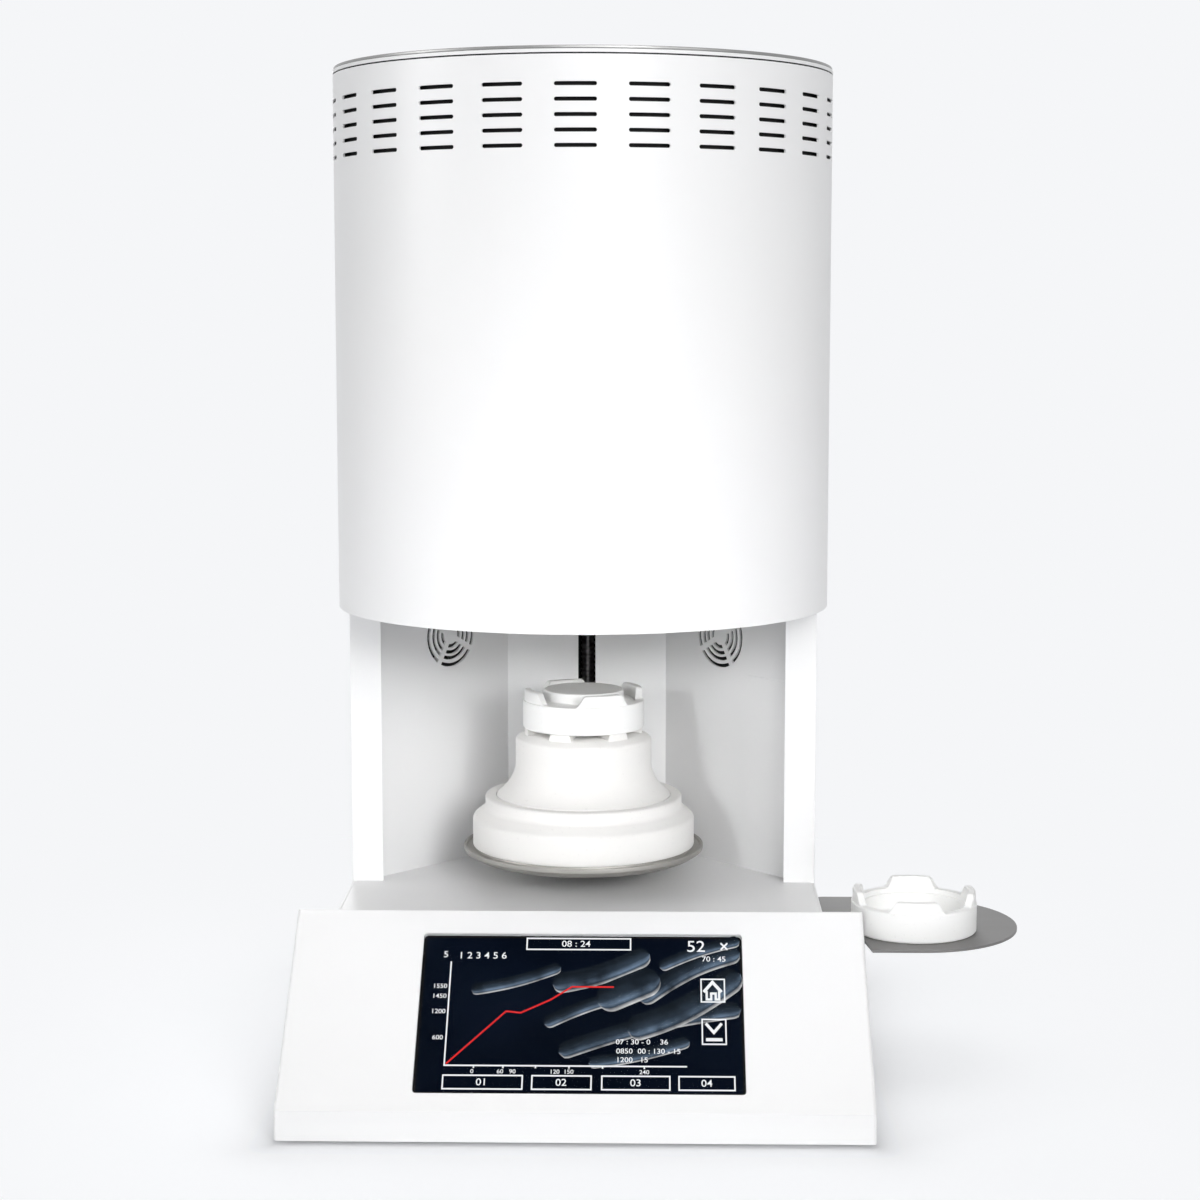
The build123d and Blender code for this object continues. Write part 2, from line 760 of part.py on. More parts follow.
access_middle = access_edge + access_width / 2
access_point = (panel_outer_half + across[0] * access_middle, panel_front + across[1] * access_middle)
access_plane = Plane(origin=(access_point[0], access_point[1], deck_height + access_rise + access_height / 2),
                     x_dir=(across[0], across[1], 0), z_dir=(-outward[0], -outward[1], 0))
access_flat = RectangleRounded(access_width, access_height, access_corner)
access = extrude(access_plane * access_flat, access_thickness)
keep("access_cover", access)

rear = block(-body_half, body_half, back_inside, body_back, pan_bottom, rim_z)
rear_cutters = []
for row in range(rear_slot_rows):
    for column in range(rear_slot_columns):
        slot_x = (column - (rear_slot_columns - 1) / 2) * rear_slot_pitch_x
        slot_z = rear_slot_centre + (row - (rear_slot_rows - 1) / 2) * rear_slot_pitch_z
        slot = Pos(slot_x, body_back, slot_z) * Rot(90, 0, 0) * extrude(
            SlotOverall(rear_slot_length, rear_slot_height), 2 * sheet, both=True)
        rear_cutters.append(slot)
rear_cutters.append(block(-inlet_x - inlet_width / 2, -inlet_x + inlet_width / 2, back_inside - 1,
                          body_back + 1, inlet_z - inlet_height / 2, inlet_z + inlet_height / 2))
rear_cutters.append(block(-switch_x - switch_width / 2, -switch_x + switch_width / 2, back_inside - 1,
                          body_back + 1, inlet_z - switch_height / 2, inlet_z + switch_height / 2))
fuse_spots = [(fuse_x, inlet_z), (fuse_x + fuse_pitch, inlet_z)]
for x, z in fuse_spots:
    rear_cutters.append(Pos(x, body_back, z) * Rot(90, 0, 0) * Cylinder(fuse_radius, 4 * sheet))
rear_screw_spots = []
for x in (-body_half + screw_edge, body_half - screw_edge):
    for part in range(4):
        low = pan_bottom + 2 * screw_edge
        high = rim_z - 2 * screw_edge
        rear_screw_spots.append((x, low + (high - low) * part / 3))
for x, z in rear_screw_spots:
    rear_cutters.append(Pos(x, body_back, z) * Rot(90, 0, 0) * Cylinder(screw_shank_radius, 4 * sheet))
rear = rear - rear_cutters
keep("rear_cover", rear)

rear_screws = []
for x, z in rear_screw_spots:
    rear_screws.append(Pos(x, body_back, z) * Rot(-90, 0, 0) * screw(sheet))
keep("rear_cover_screws", rear_screws)

top_low = rim_z - sheet
top_plate = block(-inner_half, inner_half, panel_front, back_inside, top_low, rim_z)
top_plate = top_plate - prism_z(space_plan, top_low - 1, rim_z + 1)
keep("housing_top_plate", top_plate)

# ============================================================ lift mechanism
mast = block(-mast_half, mast_half, mast_front, mast_back, pan_top, top_low)
mast_inside = mast_half - sheet
mast -= block(-mast_inside, mast_inside, mast_front - 1, mast_back - sheet, pan_top - 1, top_low + 1)
keep("mast_channel", mast)

motor_plate = block(-mast_inside, mast_inside, mast_front, mast_back - sheet,
                    motor_plate_low, motor_plate_top)
motor_plate -= disc(coupler_radius + coupler_gap, motor_plate_low - 1, motor_plate_top + 1, 0, rod_depth)
keep("motor_plate", motor_plate)

motor_height = motor_plate_low - motor_low
motor_flat = Pos(0, rod_depth, motor_low) * RectangleRounded(motor_size, motor_size, motor_corner)
motor = extrude(motor_flat, motor_height)
shaft_low = motor_low + motor_height / 2
motor -= disc(motor_shaft_radius + running_gap, shaft_low, motor_plate_low + 1, 0, rod_depth)
keep("lift_motor", motor)

screw_low = motor_plate_low + motor_shaft_length
coupler = disc(coupler_radius, coupler_low, coupler_top, 0, rod_depth)
coupler += disc(motor_shaft_radius, shaft_low, coupler_low, 0, rod_depth)
coupler -= disc(screw_radius, screw_low, coupler_top + 1, 0, rod_depth)
keep("shaft_coupler", coupler)

rod_xs = (-rod_spacing / 2, rod_spacing / 2)


def rod_block(z0, z1):
    """A bearing block that ties the guide rods and the screw to the mast."""
    body = block(-mast_inside, mast_inside, rod_depth - rod_block_depth / 2, mast_back - sheet, z0, z1)
    for x in rod_xs:
        body -= disc(rod_radius, z0 - 1, z1 + 1, x, rod_depth)
    body -= disc(screw_radius + running_gap, z0 - 1, z1 + 1, 0, rod_depth)
    return body


keep("lower_rod_block", rod_block(lower_block_low, lower_block_top))
keep("upper_rod_block", rod_block(upper_block_low, upper_block_top))
rods = [disc(rod_radius, lower_block_low, upper_block_top, x, rod_depth) for x in rod_xs]
keep("guide_rods", rods)
lead_screw = disc(screw_radius, screw_low, upper_block_top, 0, rod_depth)
keep("lead_screw", lead_screw)

carriage_front = rod_depth - carriage_depth / 2
carriage_rear = rod_depth + carriage_depth / 2
carriage = block(-carriage_width / 2, carriage_width / 2, carriage_front, carriage_rear,
                 carriage_low, carriage_top)
for x in rod_xs:
    carriage -= disc(bush_radius, carriage_low - 1, carriage_top + 1, x, rod_depth)
carriage -= disc(nut_radius, carriage_low - 1, carriage_top + 1, 0, rod_depth)
keep("lift_carriage", carriage)

bush_low = carriage_low + (carriage_height - bush_length) / 2
bush_top = bush_low + bush_length
bushes = [ring(bush_radius, rod_radius + running_gap, bush_low, bush_top, x, rod_depth) for x in rod_xs]
keep("linear_bushings", bushes)

nut = disc(nut_radius, carriage_low, carriage_low + nut_length, 0, rod_depth)
nut += disc(nut_flange_radius, carriage_low - nut_flange, carriage_low, 0, rod_depth)
nut -= disc(screw_radius + running_gap, carriage_low - nut_flange - 1, carriage_top, 0, rod_depth)
keep("screw_nut", nut)

arm_low = plate_bottom - arm_height
arm_web_back = carriage_front
arm_web_front = arm_web_back - arm_web_depth
web_front = max(arm_web_front, panel_back_depth + sheet + arm_panel_gap)
arm = block(-arm_width / 2, arm_width / 2, 0, arm_web_back, arm_low, plate_bottom)
arm += block(-arm_width / 2, arm_width / 2, web_front, arm_web_back,
             carriage_low + arm_web_rise, plate_bottom)
arm += disc(arm_pad_radius, plate_bottom - arm_pad_thickness, plate_bottom)
keep("lift_arm", arm)

lift_plate = disc(plate_radius, plate_bottom, plate_top)
lift_plate = chamfer(lift_plate.edges(), plate_edge)
keep("lift_plate", lift_plate)

base_block = turned([
    (0, plate_top),
    (block_radius, plate_top),
    (block_radius, shoulder_z),
    (block_ring_radius, ring_bottom),
    (block_ring_radius, ring_top),
    (bell_radius + curved_gap, ring_top),
    (bell_radius + curved_gap, bell_bottom),
    (0, bell_bottom),
])
keep("base_block", base_block)

flare_out = bell_radius - neck_radius
flare = Spline((bell_radius, 0, ring_top), (neck_radius + flare_out * 0.30, 0, ring_top + bell_flare * 0.44),
               (neck_radius, 0, neck_bottom), tangents=((-0.75, 0, 0.66), (0, 0, 1)))
pedestal_side = Polyline((neck_radius, 0, neck_bottom), (neck_radius, 0, neck_top),
                         (pedestal_top_radius, 0, pedestal_top), (0, 0, pedestal_top),
                         (0, 0, bell_bottom), (bell_radius, 0, bell_bottom), (bell_radius, 0, ring_top))
pedestal = revolve(make_face([flare, pedestal_side]), Axis.Z)
rib_ring = ring(pedestal_top_radius, pedestal_top_radius * 0.35, pedestal_top, crucible_bottom)
rib_cut_half = pedestal_top_radius * 1.2
rib_gap = math.radians(360.0 / rib_count - rib_angle)
rib_cut = prism_z([(0, 0), (rib_cut_half * math.sin(rib_gap / 2), -rib_cut_half * math.cos(rib_gap / 2)),
                   (-rib_cut_half * math.sin(rib_gap / 2), -rib_cut_half * math.cos(rib_gap / 2))],
                  pedestal_top, crucible_bottom + 1)
ribs = rib_ring - around(rib_cut, rib_count, rib_turn)
pedestal = pedestal + ribs
keep("pedestal", pedestal)


# ============================================================ crucibles
def crucible(first_angle):
    """A ceramic tray with four lugs on its rim, its foot at z = 0."""
    bore = crucible_radius - crucible_wall
    band = ring(crucible_radius, bore, 0, crucible_band)
    band += disc(crucible_radius, 0, crucible_floor)
    ledge_top = crucible_floor + lid_rest
    band += ring(bore + 1, bore - lid_ledge, 0, ledge_top)
    rim_radius = crucible_radius - lug_inset
    lugs = ring(rim_radius, bore, crucible_band, crucible_band + lug_height)
    middle = (rim_radius + bore) / 2
    low = middle * math.sin(math.radians(lug_gap_angle / 2))
    high = low + lug_slope
    gap_profile = Polyline((-low, 0, crucible_band), (low, 0, crucible_band),
                           (high, 0, crucible_band + lug_height + 1),
                           (-high, 0, crucible_band + lug_height + 1), close=True)
    gap = extrude(make_face(gap_profile), 2 * crucible_radius, dir=(0, -1, 0))
    return band + (lugs - around(gap, 4, first_angle + 45.0))


pot = crucible(lug_first_angle)
keep("crucible", Pos(0, 0, crucible_bottom) * pot)

lid_low = crucible_bottom + crucible_floor + lid_rest
lid = disc(lid_radius, lid_low, lid_low + lid_flange)
lid += disc(lid_boss_radius, lid_low + lid_flange, lid_low + lid_flange + lid_boss)
lid = chamfer(lid.edges().sort_by(Axis.Z)[-1], lid_edge)
keep("crucible_lid", lid)

side_pot = crucible(side_crucible_turn)
keep("side_crucible", Pos(side_crucible_x, -side_crucible_y, shelf_height) * side_pot)

shelf_low = shelf_height - shelf_thickness
shelf_back = -shelf_centre_y + shelf_radius
shelf_front = -shelf_centre_y - shelf_radius
shelf_left = body_half
notch_x = console_width / 2 + panel_gap
notch_y = -console_back + panel_gap
shelf = disc(shelf_radius, shelf_low, shelf_height, shelf_centre_x, -shelf_centre_y)
shelf -= block(0, shelf_centre_x, shelf_front - 1, shelf_back + 1, shelf_low - 1, shelf_height + 1)
shelf += block(notch_x, shelf_centre_x, shelf_front, shelf_back, shelf_low, shelf_height)
shelf += block(shelf_left, notch_x + 1, notch_y, shelf_back, shelf_low, shelf_height)
corner_cut = prism_z([(notch_x - 1, shelf_front - 1),
                      (notch_x - panel_gap + shelf_cut_width, shelf_front - 1),
                      (notch_x - 1, shelf_front + shelf_cut)], shelf_low - 1, shelf_height + 1)
shelf = shelf - corner_cut
back_corner = shelf.edges().filter_by(Axis.Z).filter_by(
    lambda e: abs(e.center().X - shelf_left) < 0.1 and abs(e.center().Y - shelf_back) < 0.1)
shelf = fillet(back_corner, shelf_corner)
keep("side_shelf", shelf)

bracket_back = shelf_back - bracket_back_inset
bracket_front = bracket_back - bracket_length
bracket = block(body_half, body_half + bracket_sheet, bracket_front, bracket_back,
                shelf_low - bracket_drop, shelf_low)
bracket += block(body_half, body_half + bracket_reach, bracket_front, bracket_back,
                 shelf_low - bracket_sheet, shelf_low)
gusset = [
    (body_half + bracket_sheet / 2, shelf_low - bracket_drop),
    (body_half + bracket_sheet / 2, shelf_low - bracket_sheet / 2),
    (body_half + bracket_reach, shelf_low - bracket_sheet / 2),
    (body_half + bracket_reach, shelf_low - 2 * bracket_sheet),
]
for y in (bracket_front + bracket_gusset_inset, bracket_back - bracket_gusset_inset - bracket_sheet):
    outline = Polyline(*[(x, y, z) for x, z in gusset], close=True)
    bracket += extrude(make_face(outline), bracket_sheet, dir=(0, 1, 0))
keep("shelf_bracket", bracket)


# ============================================================ fans
def fan_frame(side):
    """A square fan frame with its motor carried on four struts at the back."""
    start = fan_plane(side, sheet)
    flat = RectangleRounded(fan_size, fan_size, fan_corner) - Circle(fan_bore / 2)
    frame = extrude(start * flat, fan_depth)
    back = fan_plane(side, sheet + fan_depth - fan_strut_depth)
    cross = Circle(fan_hub_radius)
    for k in range(2):
        cross = cross + Rot(0, 0, 90 * k) * Rectangle(fan_bore + fan_strut_width / 4, fan_strut_width)
    frame += extrude(back * cross, fan_strut_depth)
    pin_end = fan_plane(side, sheet + fan_pin_start)
    frame += extrude(pin_end * Circle(fan_pin_radius), fan_depth - fan_strut_depth - fan_pin_start)
    return frame


def fan_rotor(side):
    """A hub with slanted blades that turns on the frame's pin."""
    start = fan_plane(side, sheet + fan_front_gap)
    rotor_depth = fan_depth - fan_front_gap - fan_strut_depth - fan_back_gap
    hub = extrude(start * Circle(fan_hub_radius), rotor_depth)
    blade_span = fan_blade_radius - fan_hub_radius + fan_blade_root
    blade = Box(blade_span, fan_blade_thickness, rotor_depth)
    blade_middle = Pos(fan_hub_radius - fan_blade_root + blade_span / 2, 0, rotor_depth / 2)
    blade = blade_middle * Rot(fan_blade_pitch, 0, 0) * blade
    keep_in = Pos(0, 0, rotor_depth / 2) * Cylinder(fan_blade_radius, rotor_depth)
    blade = blade & keep_in
    blades = [Rot(0, 0, 360.0 * k / fan_blade_count) * blade for k in range(fan_blade_count)]
    rotor = hub
    for one in blades:
        rotor = rotor + start * one
    bore = fan_plane(side, sheet + fan_pin_start - running_gap)
    rotor -= extrude(bore * Circle(fan_pin_radius + running_gap), fan_depth)
    return rotor


keep("fan_frame_left", fan_frame(-1))
keep("fan_frame_right", fan_frame(1))
keep("fan_rotor_left", fan_rotor(-1))
keep("fan_rotor_right", fan_rotor(1))

# ============================================================ electrics
trans_low = pan_top
coil = transformer_coil_inset
core = block(-transformer_x - transformer_width / 2, -transformer_x + transformer_width / 2,
             transformer_y - transformer_depth / 2 + coil, transformer_y + transformer_depth / 2 - coil,
             trans_low, trans_low + transformer_height)
winding_half = transformer_width / 2 - 1.5 * coil
winding = block(-transformer_x - winding_half, -transformer_x + winding_half,
                transformer_y - transformer_depth / 2, transformer_y + transformer_depth / 2,
                trans_low + 1.2 * coil, trans_low + transformer_height - 1.2 * coil)
keep("transformer", core + winding)

sink = block(sink_x - sink_width / 2, sink_x + sink_width / 2,
             sink_y - sink_depth / 2, sink_y + sink_depth / 2,
             pan_top, pan_top + sink_base)
fin_pitch = (sink_width - relay_width) / 2 / (sink_side_fins + 1)
fin_xs = [sink_x - sink_width / 2 + sink_fin_thickness / 2 + k * fin_pitch for k in range(sink_side_fins)]
fin_xs += [sink_x + sink_width / 2 - sink_fin_thickness / 2 - k * fin_pitch for k in range(sink_side_fins)]
for x in fin_xs:
    sink += block(x - sink_fin_thickness / 2, x + sink_fin_thickness / 2, sink_y - sink_depth / 2,
                  sink_y + sink_depth / 2, pan_top + sink_base, pan_top + sink_base + sink_fin_height)
keep("heat_sink", sink)
relay = block(sink_x - relay_width / 2, sink_x + relay_width / 2,
              sink_y - relay_depth / 2, sink_y + relay_depth / 2,
              pan_top + sink_base, pan_top + sink_base + relay_height)
keep("solid_state_relay", relay)

inlet = block(-inlet_x - inlet_flange_x / 2, -inlet_x + inlet_flange_x / 2,
              body_back, body_back + inlet_flange,
              inlet_z - inlet_flange_z / 2, inlet_z + inlet_flange_z / 2)
inlet = fillet(inlet.edges().filter_by(Axis.Y), inlet_corner)
inlet += block(-inlet_x - inlet_width / 2, -inlet_x + inlet_width / 2, body_back - inlet_depth,
               body_back, inlet_z - inlet_height / 2, inlet_z + inlet_height / 2)
socket_half_x = inlet_width / 2 - inlet_wall
socket_half_z = inlet_height / 2 - inlet_wall
inlet -= block(-inlet_x - socket_half_x, -inlet_x + socket_half_x, body_back - inlet_depth + inlet_wall,
               body_back + inlet_flange + 1, inlet_z - socket_half_z, inlet_z + socket_half_z)
for pin in (-1, 0, 1):
    pin_x = -inlet_x + pin * inlet_pin_pitch
    inlet += block(pin_x - inlet_pin_width / 2, pin_x + inlet_pin_width / 2,
                   body_back - inlet_depth + inlet_wall / 3, body_back - inlet_pin_recess,
                   inlet_z - inlet_pin_height / 2, inlet_z + inlet_pin_height / 2)
keep("power_inlet", inlet)

frame_half_x = switch_width / 2 + switch_border
frame_half_z = switch_height / 2 + switch_border
switch = block(-switch_x - frame_half_x, -switch_x + frame_half_x, body_back, body_back + switch_flange,
               inlet_z - frame_half_z, inlet_z + frame_half_z)
switch += block(-switch_x - switch_width / 2, -switch_x + switch_width / 2,
                body_back - switch_depth, body_back,
                inlet_z - switch_height / 2, inlet_z + switch_height / 2)
well_x = switch_width / 2 - switch_wall
well_z = switch_height / 2 - switch_wall
switch -= block(-switch_x - well_x, -switch_x + well_x, body_back - switch_depth + switch_wall,
                body_back + switch_flange + 1, inlet_z - well_z, inlet_z + well_z)
pin_y = body_back - rocker_pin_depth
pin_place = Pos(-switch_x, pin_y, inlet_z) * Rot(0, 90, 0)
switch += pin_place * Cylinder(rocker_pin_radius, 2 * well_x + switch_wall / 2)
keep("switch_frame", switch)

rocker_x = well_x - panel_gap
rocker_z = well_z - rocker_end_gap
face_y = body_back + switch_flange + rocker_proud
tilt = math.tan(math.radians(rocker_tilt))
rocker_profile = [
    (pin_y - rocker_foot, inlet_z - rocker_foot),
    (pin_y - rocker_foot, inlet_z + rocker_foot),
    (face_y - rocker_proud - rocker_edge, inlet_z + rocker_z - 0.8 * rocker_edge),
    (face_y - rocker_proud * 0.2, inlet_z + rocker_z - rocker_edge),
    (face_y - rocker_z * tilt * 0.9, inlet_z),
    (face_y - rocker_proud * 0.2, inlet_z - rocker_z + rocker_edge),
    (face_y - rocker_proud - rocker_edge, inlet_z - rocker_z + 0.8 * rocker_edge),
]
rocker = Pos(-switch_x, 0, 0) * prism_x(rocker_profile, 2 * rocker_x)
rocker -= pin_place * Cylinder(rocker_pin_radius + running_gap, 4 * well_x)
rocker = Pos(0, pin_y, inlet_z) * Rot(rocker_tilt / 2, 0, 0) * Pos(0, -pin_y, -inlet_z) * rocker
keep("switch_rocker", rocker)

fuses = []
for x, z in fuse_spots:
    place = Pos(x, body_back, z) * Rot(-90, 0, 0)
    holder = place * disc(fuse_radius, -fuse_depth, 0)
    holder += place * disc(fuse_flange, 0, fuse_flange_thickness)
    fuse_top = fuse_flange_thickness + fuse_cap
    holder += place * disc(fuse_radius - fuse_cap_inset, fuse_flange_thickness, fuse_top)
    holder -= place * Pos(0, 0, fuse_top) * Box(2 * fuse_radius, fuse_slot_width, 2 * fuse_slot_depth)
    fuses.append(holder)
keep("fuse_holders", fuses)

print(len(made), "pieces", made)
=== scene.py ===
import math

import bmesh
import bpy
import numpy as np
from bpy.props import FloatProperty, FloatVectorProperty, IntProperty, PointerProperty
from mathutils import Matrix, Vector


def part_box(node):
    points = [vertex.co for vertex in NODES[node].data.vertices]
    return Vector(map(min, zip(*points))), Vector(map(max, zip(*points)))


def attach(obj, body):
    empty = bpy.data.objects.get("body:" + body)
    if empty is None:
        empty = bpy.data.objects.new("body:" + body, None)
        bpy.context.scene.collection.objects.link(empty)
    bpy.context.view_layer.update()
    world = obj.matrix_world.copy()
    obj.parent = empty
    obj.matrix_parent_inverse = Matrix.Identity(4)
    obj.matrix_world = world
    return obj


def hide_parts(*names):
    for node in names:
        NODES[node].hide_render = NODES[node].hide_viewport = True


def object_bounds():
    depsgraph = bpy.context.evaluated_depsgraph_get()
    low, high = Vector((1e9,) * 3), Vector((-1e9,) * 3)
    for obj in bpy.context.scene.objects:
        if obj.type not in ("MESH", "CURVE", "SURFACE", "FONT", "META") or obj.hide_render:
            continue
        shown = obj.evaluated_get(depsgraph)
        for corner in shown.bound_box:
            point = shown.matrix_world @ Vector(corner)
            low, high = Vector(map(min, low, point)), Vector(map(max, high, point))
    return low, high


bl_info = {
    "name": "Dental Lab Furnace",
    "version": (1, 0, 0),
    "blender": (4, 5, 0),
    "location": "3D View > Sidebar > Furnace",
    "description": "Dresses a bottom-loading lab furnace: slotted head, fired ceramics, lift, touch console and studio",
    "category": "Object",
}

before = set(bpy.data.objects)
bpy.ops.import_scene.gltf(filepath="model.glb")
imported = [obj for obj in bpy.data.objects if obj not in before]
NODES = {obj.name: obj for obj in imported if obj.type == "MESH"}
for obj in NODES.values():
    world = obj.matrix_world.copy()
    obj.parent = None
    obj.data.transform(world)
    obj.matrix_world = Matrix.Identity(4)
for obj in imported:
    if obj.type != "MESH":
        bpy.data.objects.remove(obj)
CAD_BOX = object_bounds()


def corners(node):
    """Lowest and highest corner of a CAD node as arrays, in metres."""
    low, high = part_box(node)
    return np.array(low), np.array(high)


def half_width(node):
    """Half the width of a CAD node: its radius where it is round."""
    low, high = corners(node)
    return (high[0] - low[0]) / 2


HEAD_LOW, HEAD_HIGH = corners("head_shell")
AXIS = (HEAD_LOW + HEAD_HIGH) / 2


# ---------------------------------------------------------------- properties
def length(name, description, default, low=0.0):
    """A size in metres."""
    return FloatProperty(name=name, description=description, default=default, min=low, unit="LENGTH", precision=4)


def tint(name, description, default):
    """A colour with its alpha."""
    return FloatVectorProperty(
        name=name, description=description, default=default, size=4, min=0, max=1, subtype="COLOR",
    )


def number(name, description, default, **limits):
    """A plain number, or one with the unit that is given."""
    return FloatProperty(name=name, description=description, default=default, **limits)


def angle(name, description, degrees):
    """An angle, given here in degrees."""
    return number(name, description, math.radians(degrees), subtype="ANGLE")


def power(name, description, watts):
    """The power of a light."""
    return number(name, description, watts, min=0, unit="POWER")


class FURNACE_PG_head(bpy.types.PropertyGroup):
    wall: length("Shell wall", "Thickness of the head's rolled sheet", 0.0015)
    groups: IntProperty(name="Vent groups", description="Groups of slots round the head", default=23, min=3)
    rows: IntProperty(name="Vent rows", description="Slots in each group", default=5, min=1)
    first_row: length("First row", "Seam to the middle of the top row of slots", 0.021)
    row_pitch: length("Row pitch", "Height from one row of slots to the next", 0.011)
    slot_length: length("Slot length", "Length of one vent slot round the shell", 0.0314)
    slot_height: length("Slot height", "Height of one vent slot", 0.003)


class FURNACE_PG_ceramics(bpy.types.PropertyGroup):
    edge: length("Edge rounding", "Rounding of the fired edges", 0.0012)
    tray_edge: length("Tray edge rounding", "Rounding of the tray's edges", 0.0009)
    ribs: IntProperty(name="Ribs", description="Ribs under the tray that let gas out", default=6, min=2)
    rib_height: length("Rib height", "Height of the ribs over the pedestal's top", 0.0042)
    rib_angle: angle("Rib angle", "Angle that one rib spans", 22)
    rib_turn: angle("Rib turn", "Turn of the ribs from the front", 38)
    lug_turn: angle("Lug turn", "Turn of the tray's lugs from the front", 22)
    spare_turn: angle("Spare lug turn", "Turn of the spare tray's lugs", -3)
    lug_gap: angle("Lug gap", "Angle of the gap between two lugs", 36)
    lug_slope: angle("Lug slope", "Angle over which a lug's side rises", 8)


class FURNACE_PG_screen(bpy.types.PropertyGroup):
    line: length("Line width", "Width of the drawn lines on the screen", 0.0011)
    ink: tint("Ink", "Lines and figures on the screen", (0.86, 0.88, 0.9, 1))
    curve: tint("Curve", "Temperature curve", (0.72, 0.03, 0.03, 1))
    night: tint("Ground", "Dark ground of the screen", (0.0019, 0.0036, 0.0085, 1))
    steel: tint("Ribbons", "Abstract ribbons behind the chart", (0.16, 0.23, 0.33, 1))
    glow: number("Glow", "Strength of the lit screen", 1.0, min=0)


class FURNACE_PG_colours(bpy.types.PropertyGroup):
    white: tint("White coat", "Powder coat of the housing", (0.88, 0.88, 0.882, 1))
    gray: tint("Trim gray", "Ring on the head's cap", (0.30, 0.30, 0.295, 1))
    black: tint("Black coat", "Coat of the mast and the arm", (0.006, 0.006, 0.0065, 1))
    clay: tint("Fired ceramic", "Insulation block and pedestal", (0.86, 0.85, 0.83, 1))
    tray: tint("Tray ceramic", "Trays and lid", (0.92, 0.92, 0.91, 1))
    plate: tint("Lift plate", "Turned lift plate", (0.37, 0.36, 0.335, 1))
    shelf: tint("Side shelf", "Brushed side shelf", (0.20, 0.196, 0.192, 1))


class FURNACE_PG_stage(bpy.types.PropertyGroup):
    lens: number("Lens", "Focal length on a 36 mm sensor", 72.48, min=10, unit="CAMERA")
    out: length("Distance", "Camera distance in front of the head's axis", 1.9765)
    step: length("Side step", "Camera distance to the right of the head's axis", 0.0539, -5)
    height: length("Height", "Camera height above the table", 0.6185)
    yaw: angle("Yaw", "Turn of the camera to the right", -1.164)
    pitch: angle("Pitch", "Tilt of the camera below the horizon", 7.005)
    key: power("Key light", "Power of the front right light", 33.0)
    front: power("Front light", "Power of the front light", 18.5)
    top: power("Top light", "Power of the light overhead", 18.0)
    side: power("Side light", "Power of the left light", 23.0)
    fill: power("Fill light", "Power of the right light", 6.5)
    back: power("Back light", "Power of the light behind the object", 18.0)
    bay: power("Bay light", "Power of each narrow light into the bay", 0.18)
    sky: number("Sky", "Strength of the even studio light", 0.14, min=0)
    shadow: number("Shadow", "Share of the floor that takes shadow beside the object", 0.75, min=0, max=0.95)
    contact: number("Contact shadow", "Depth of the dark line right beside the housing", 0.7, min=0, max=1)
    fade: length("Shadow fade", "Distance over which the floor's shadow fades", 0.6)
    floor_light: number(
        "Floor light", "How light the bare matt floor is under these lamps at the origin", 0.605, min=0,
    )
    floor_fall: number("Floor fall-off", "How much that falls in each metre away from the camera", 0.26, min=0)
    ground: tint("Background", "Pale floor and backdrop", (0.914, 0.922, 0.939, 1))


GROUPS = {
    "furnace_head": FURNACE_PG_head,
    "furnace_ceramics": FURNACE_PG_ceramics,
    "furnace_screen": FURNACE_PG_screen,
    "furnace_colours": FURNACE_PG_colours,
    "furnace_stage": FURNACE_PG_stage,
}


# ------------------------------------------------------------- surface tools
def shade_smooth(mesh):
    """Smooth shading on every face."""
    mesh.polygons.foreach_set("use_smooth", np.ones(len(mesh.polygons), bool))


def put_mesh(name, points, faces, smooth=35.0, uv=None):
    """A mesh object from arrays of points (n, 3) and quads (m, 4), with doubles merged and flat or
    folded faces removed."""
    mesh = bpy.data.meshes.new(name)
    mesh.from_pydata(points.tolist(), [], faces.tolist())
    if uv is not None:
        layer = mesh.uv_layers.new(name="UVMap")
        layer.data.foreach_set("uv", uv[faces.ravel()].astype(np.float32).ravel())
    work = bmesh.new()
    work.from_mesh(mesh)
    bmesh.ops.remove_doubles(work, verts=work.verts, dist=2e-6)
    bmesh.ops.dissolve_degenerate(work, dist=1e-6, edges=work.edges)
    work.to_mesh(mesh)
    work.free()
    if smooth:
        shade_smooth(mesh)
        mesh.set_sharp_from_angle(angle=math.radians(smooth))
    piece = bpy.data.objects.new(name, mesh)
    bpy.context.scene.collection.objects.link(piece)
    return piece


def quads(rows, columns, wrap_rows=False, wrap_columns=False, keep=None):
    """Corner numbers of the faces of a grid of points, row by row; keep is a mask of the faces that stay."""
    r = np.arange(rows if wrap_rows else rows - 1)
    c = np.arange(columns if wrap_columns else columns - 1)
    a, b = np.meshgrid(r, c, indexing="ij")
    a2, b2 = (a + 1) % rows, (b + 1) % columns
    faces = np.stack([a * columns + b, a * columns + b2, a2 * columns + b2, a2 * columns + b], -1)
    return faces[keep] if keep is not None else faces.reshape(-1, 4)


def skin(name, grid, wrap_rows=False, wrap_columns=False, keep=None, flip=False, smooth=35.0, uv=None):
    """A surface through a grid of points (rows, columns, 3): neighbours in the grid are joined by quads."""
    rows, columns = grid.shape[:2]
    faces = quads(rows, columns, wrap_rows, wrap_columns, keep)
    if flip:
        faces = faces[:, ::-1]
    return put_mesh(name, grid.reshape(-1, 3), faces, smooth, None if uv is None else uv.reshape(-1, 2))


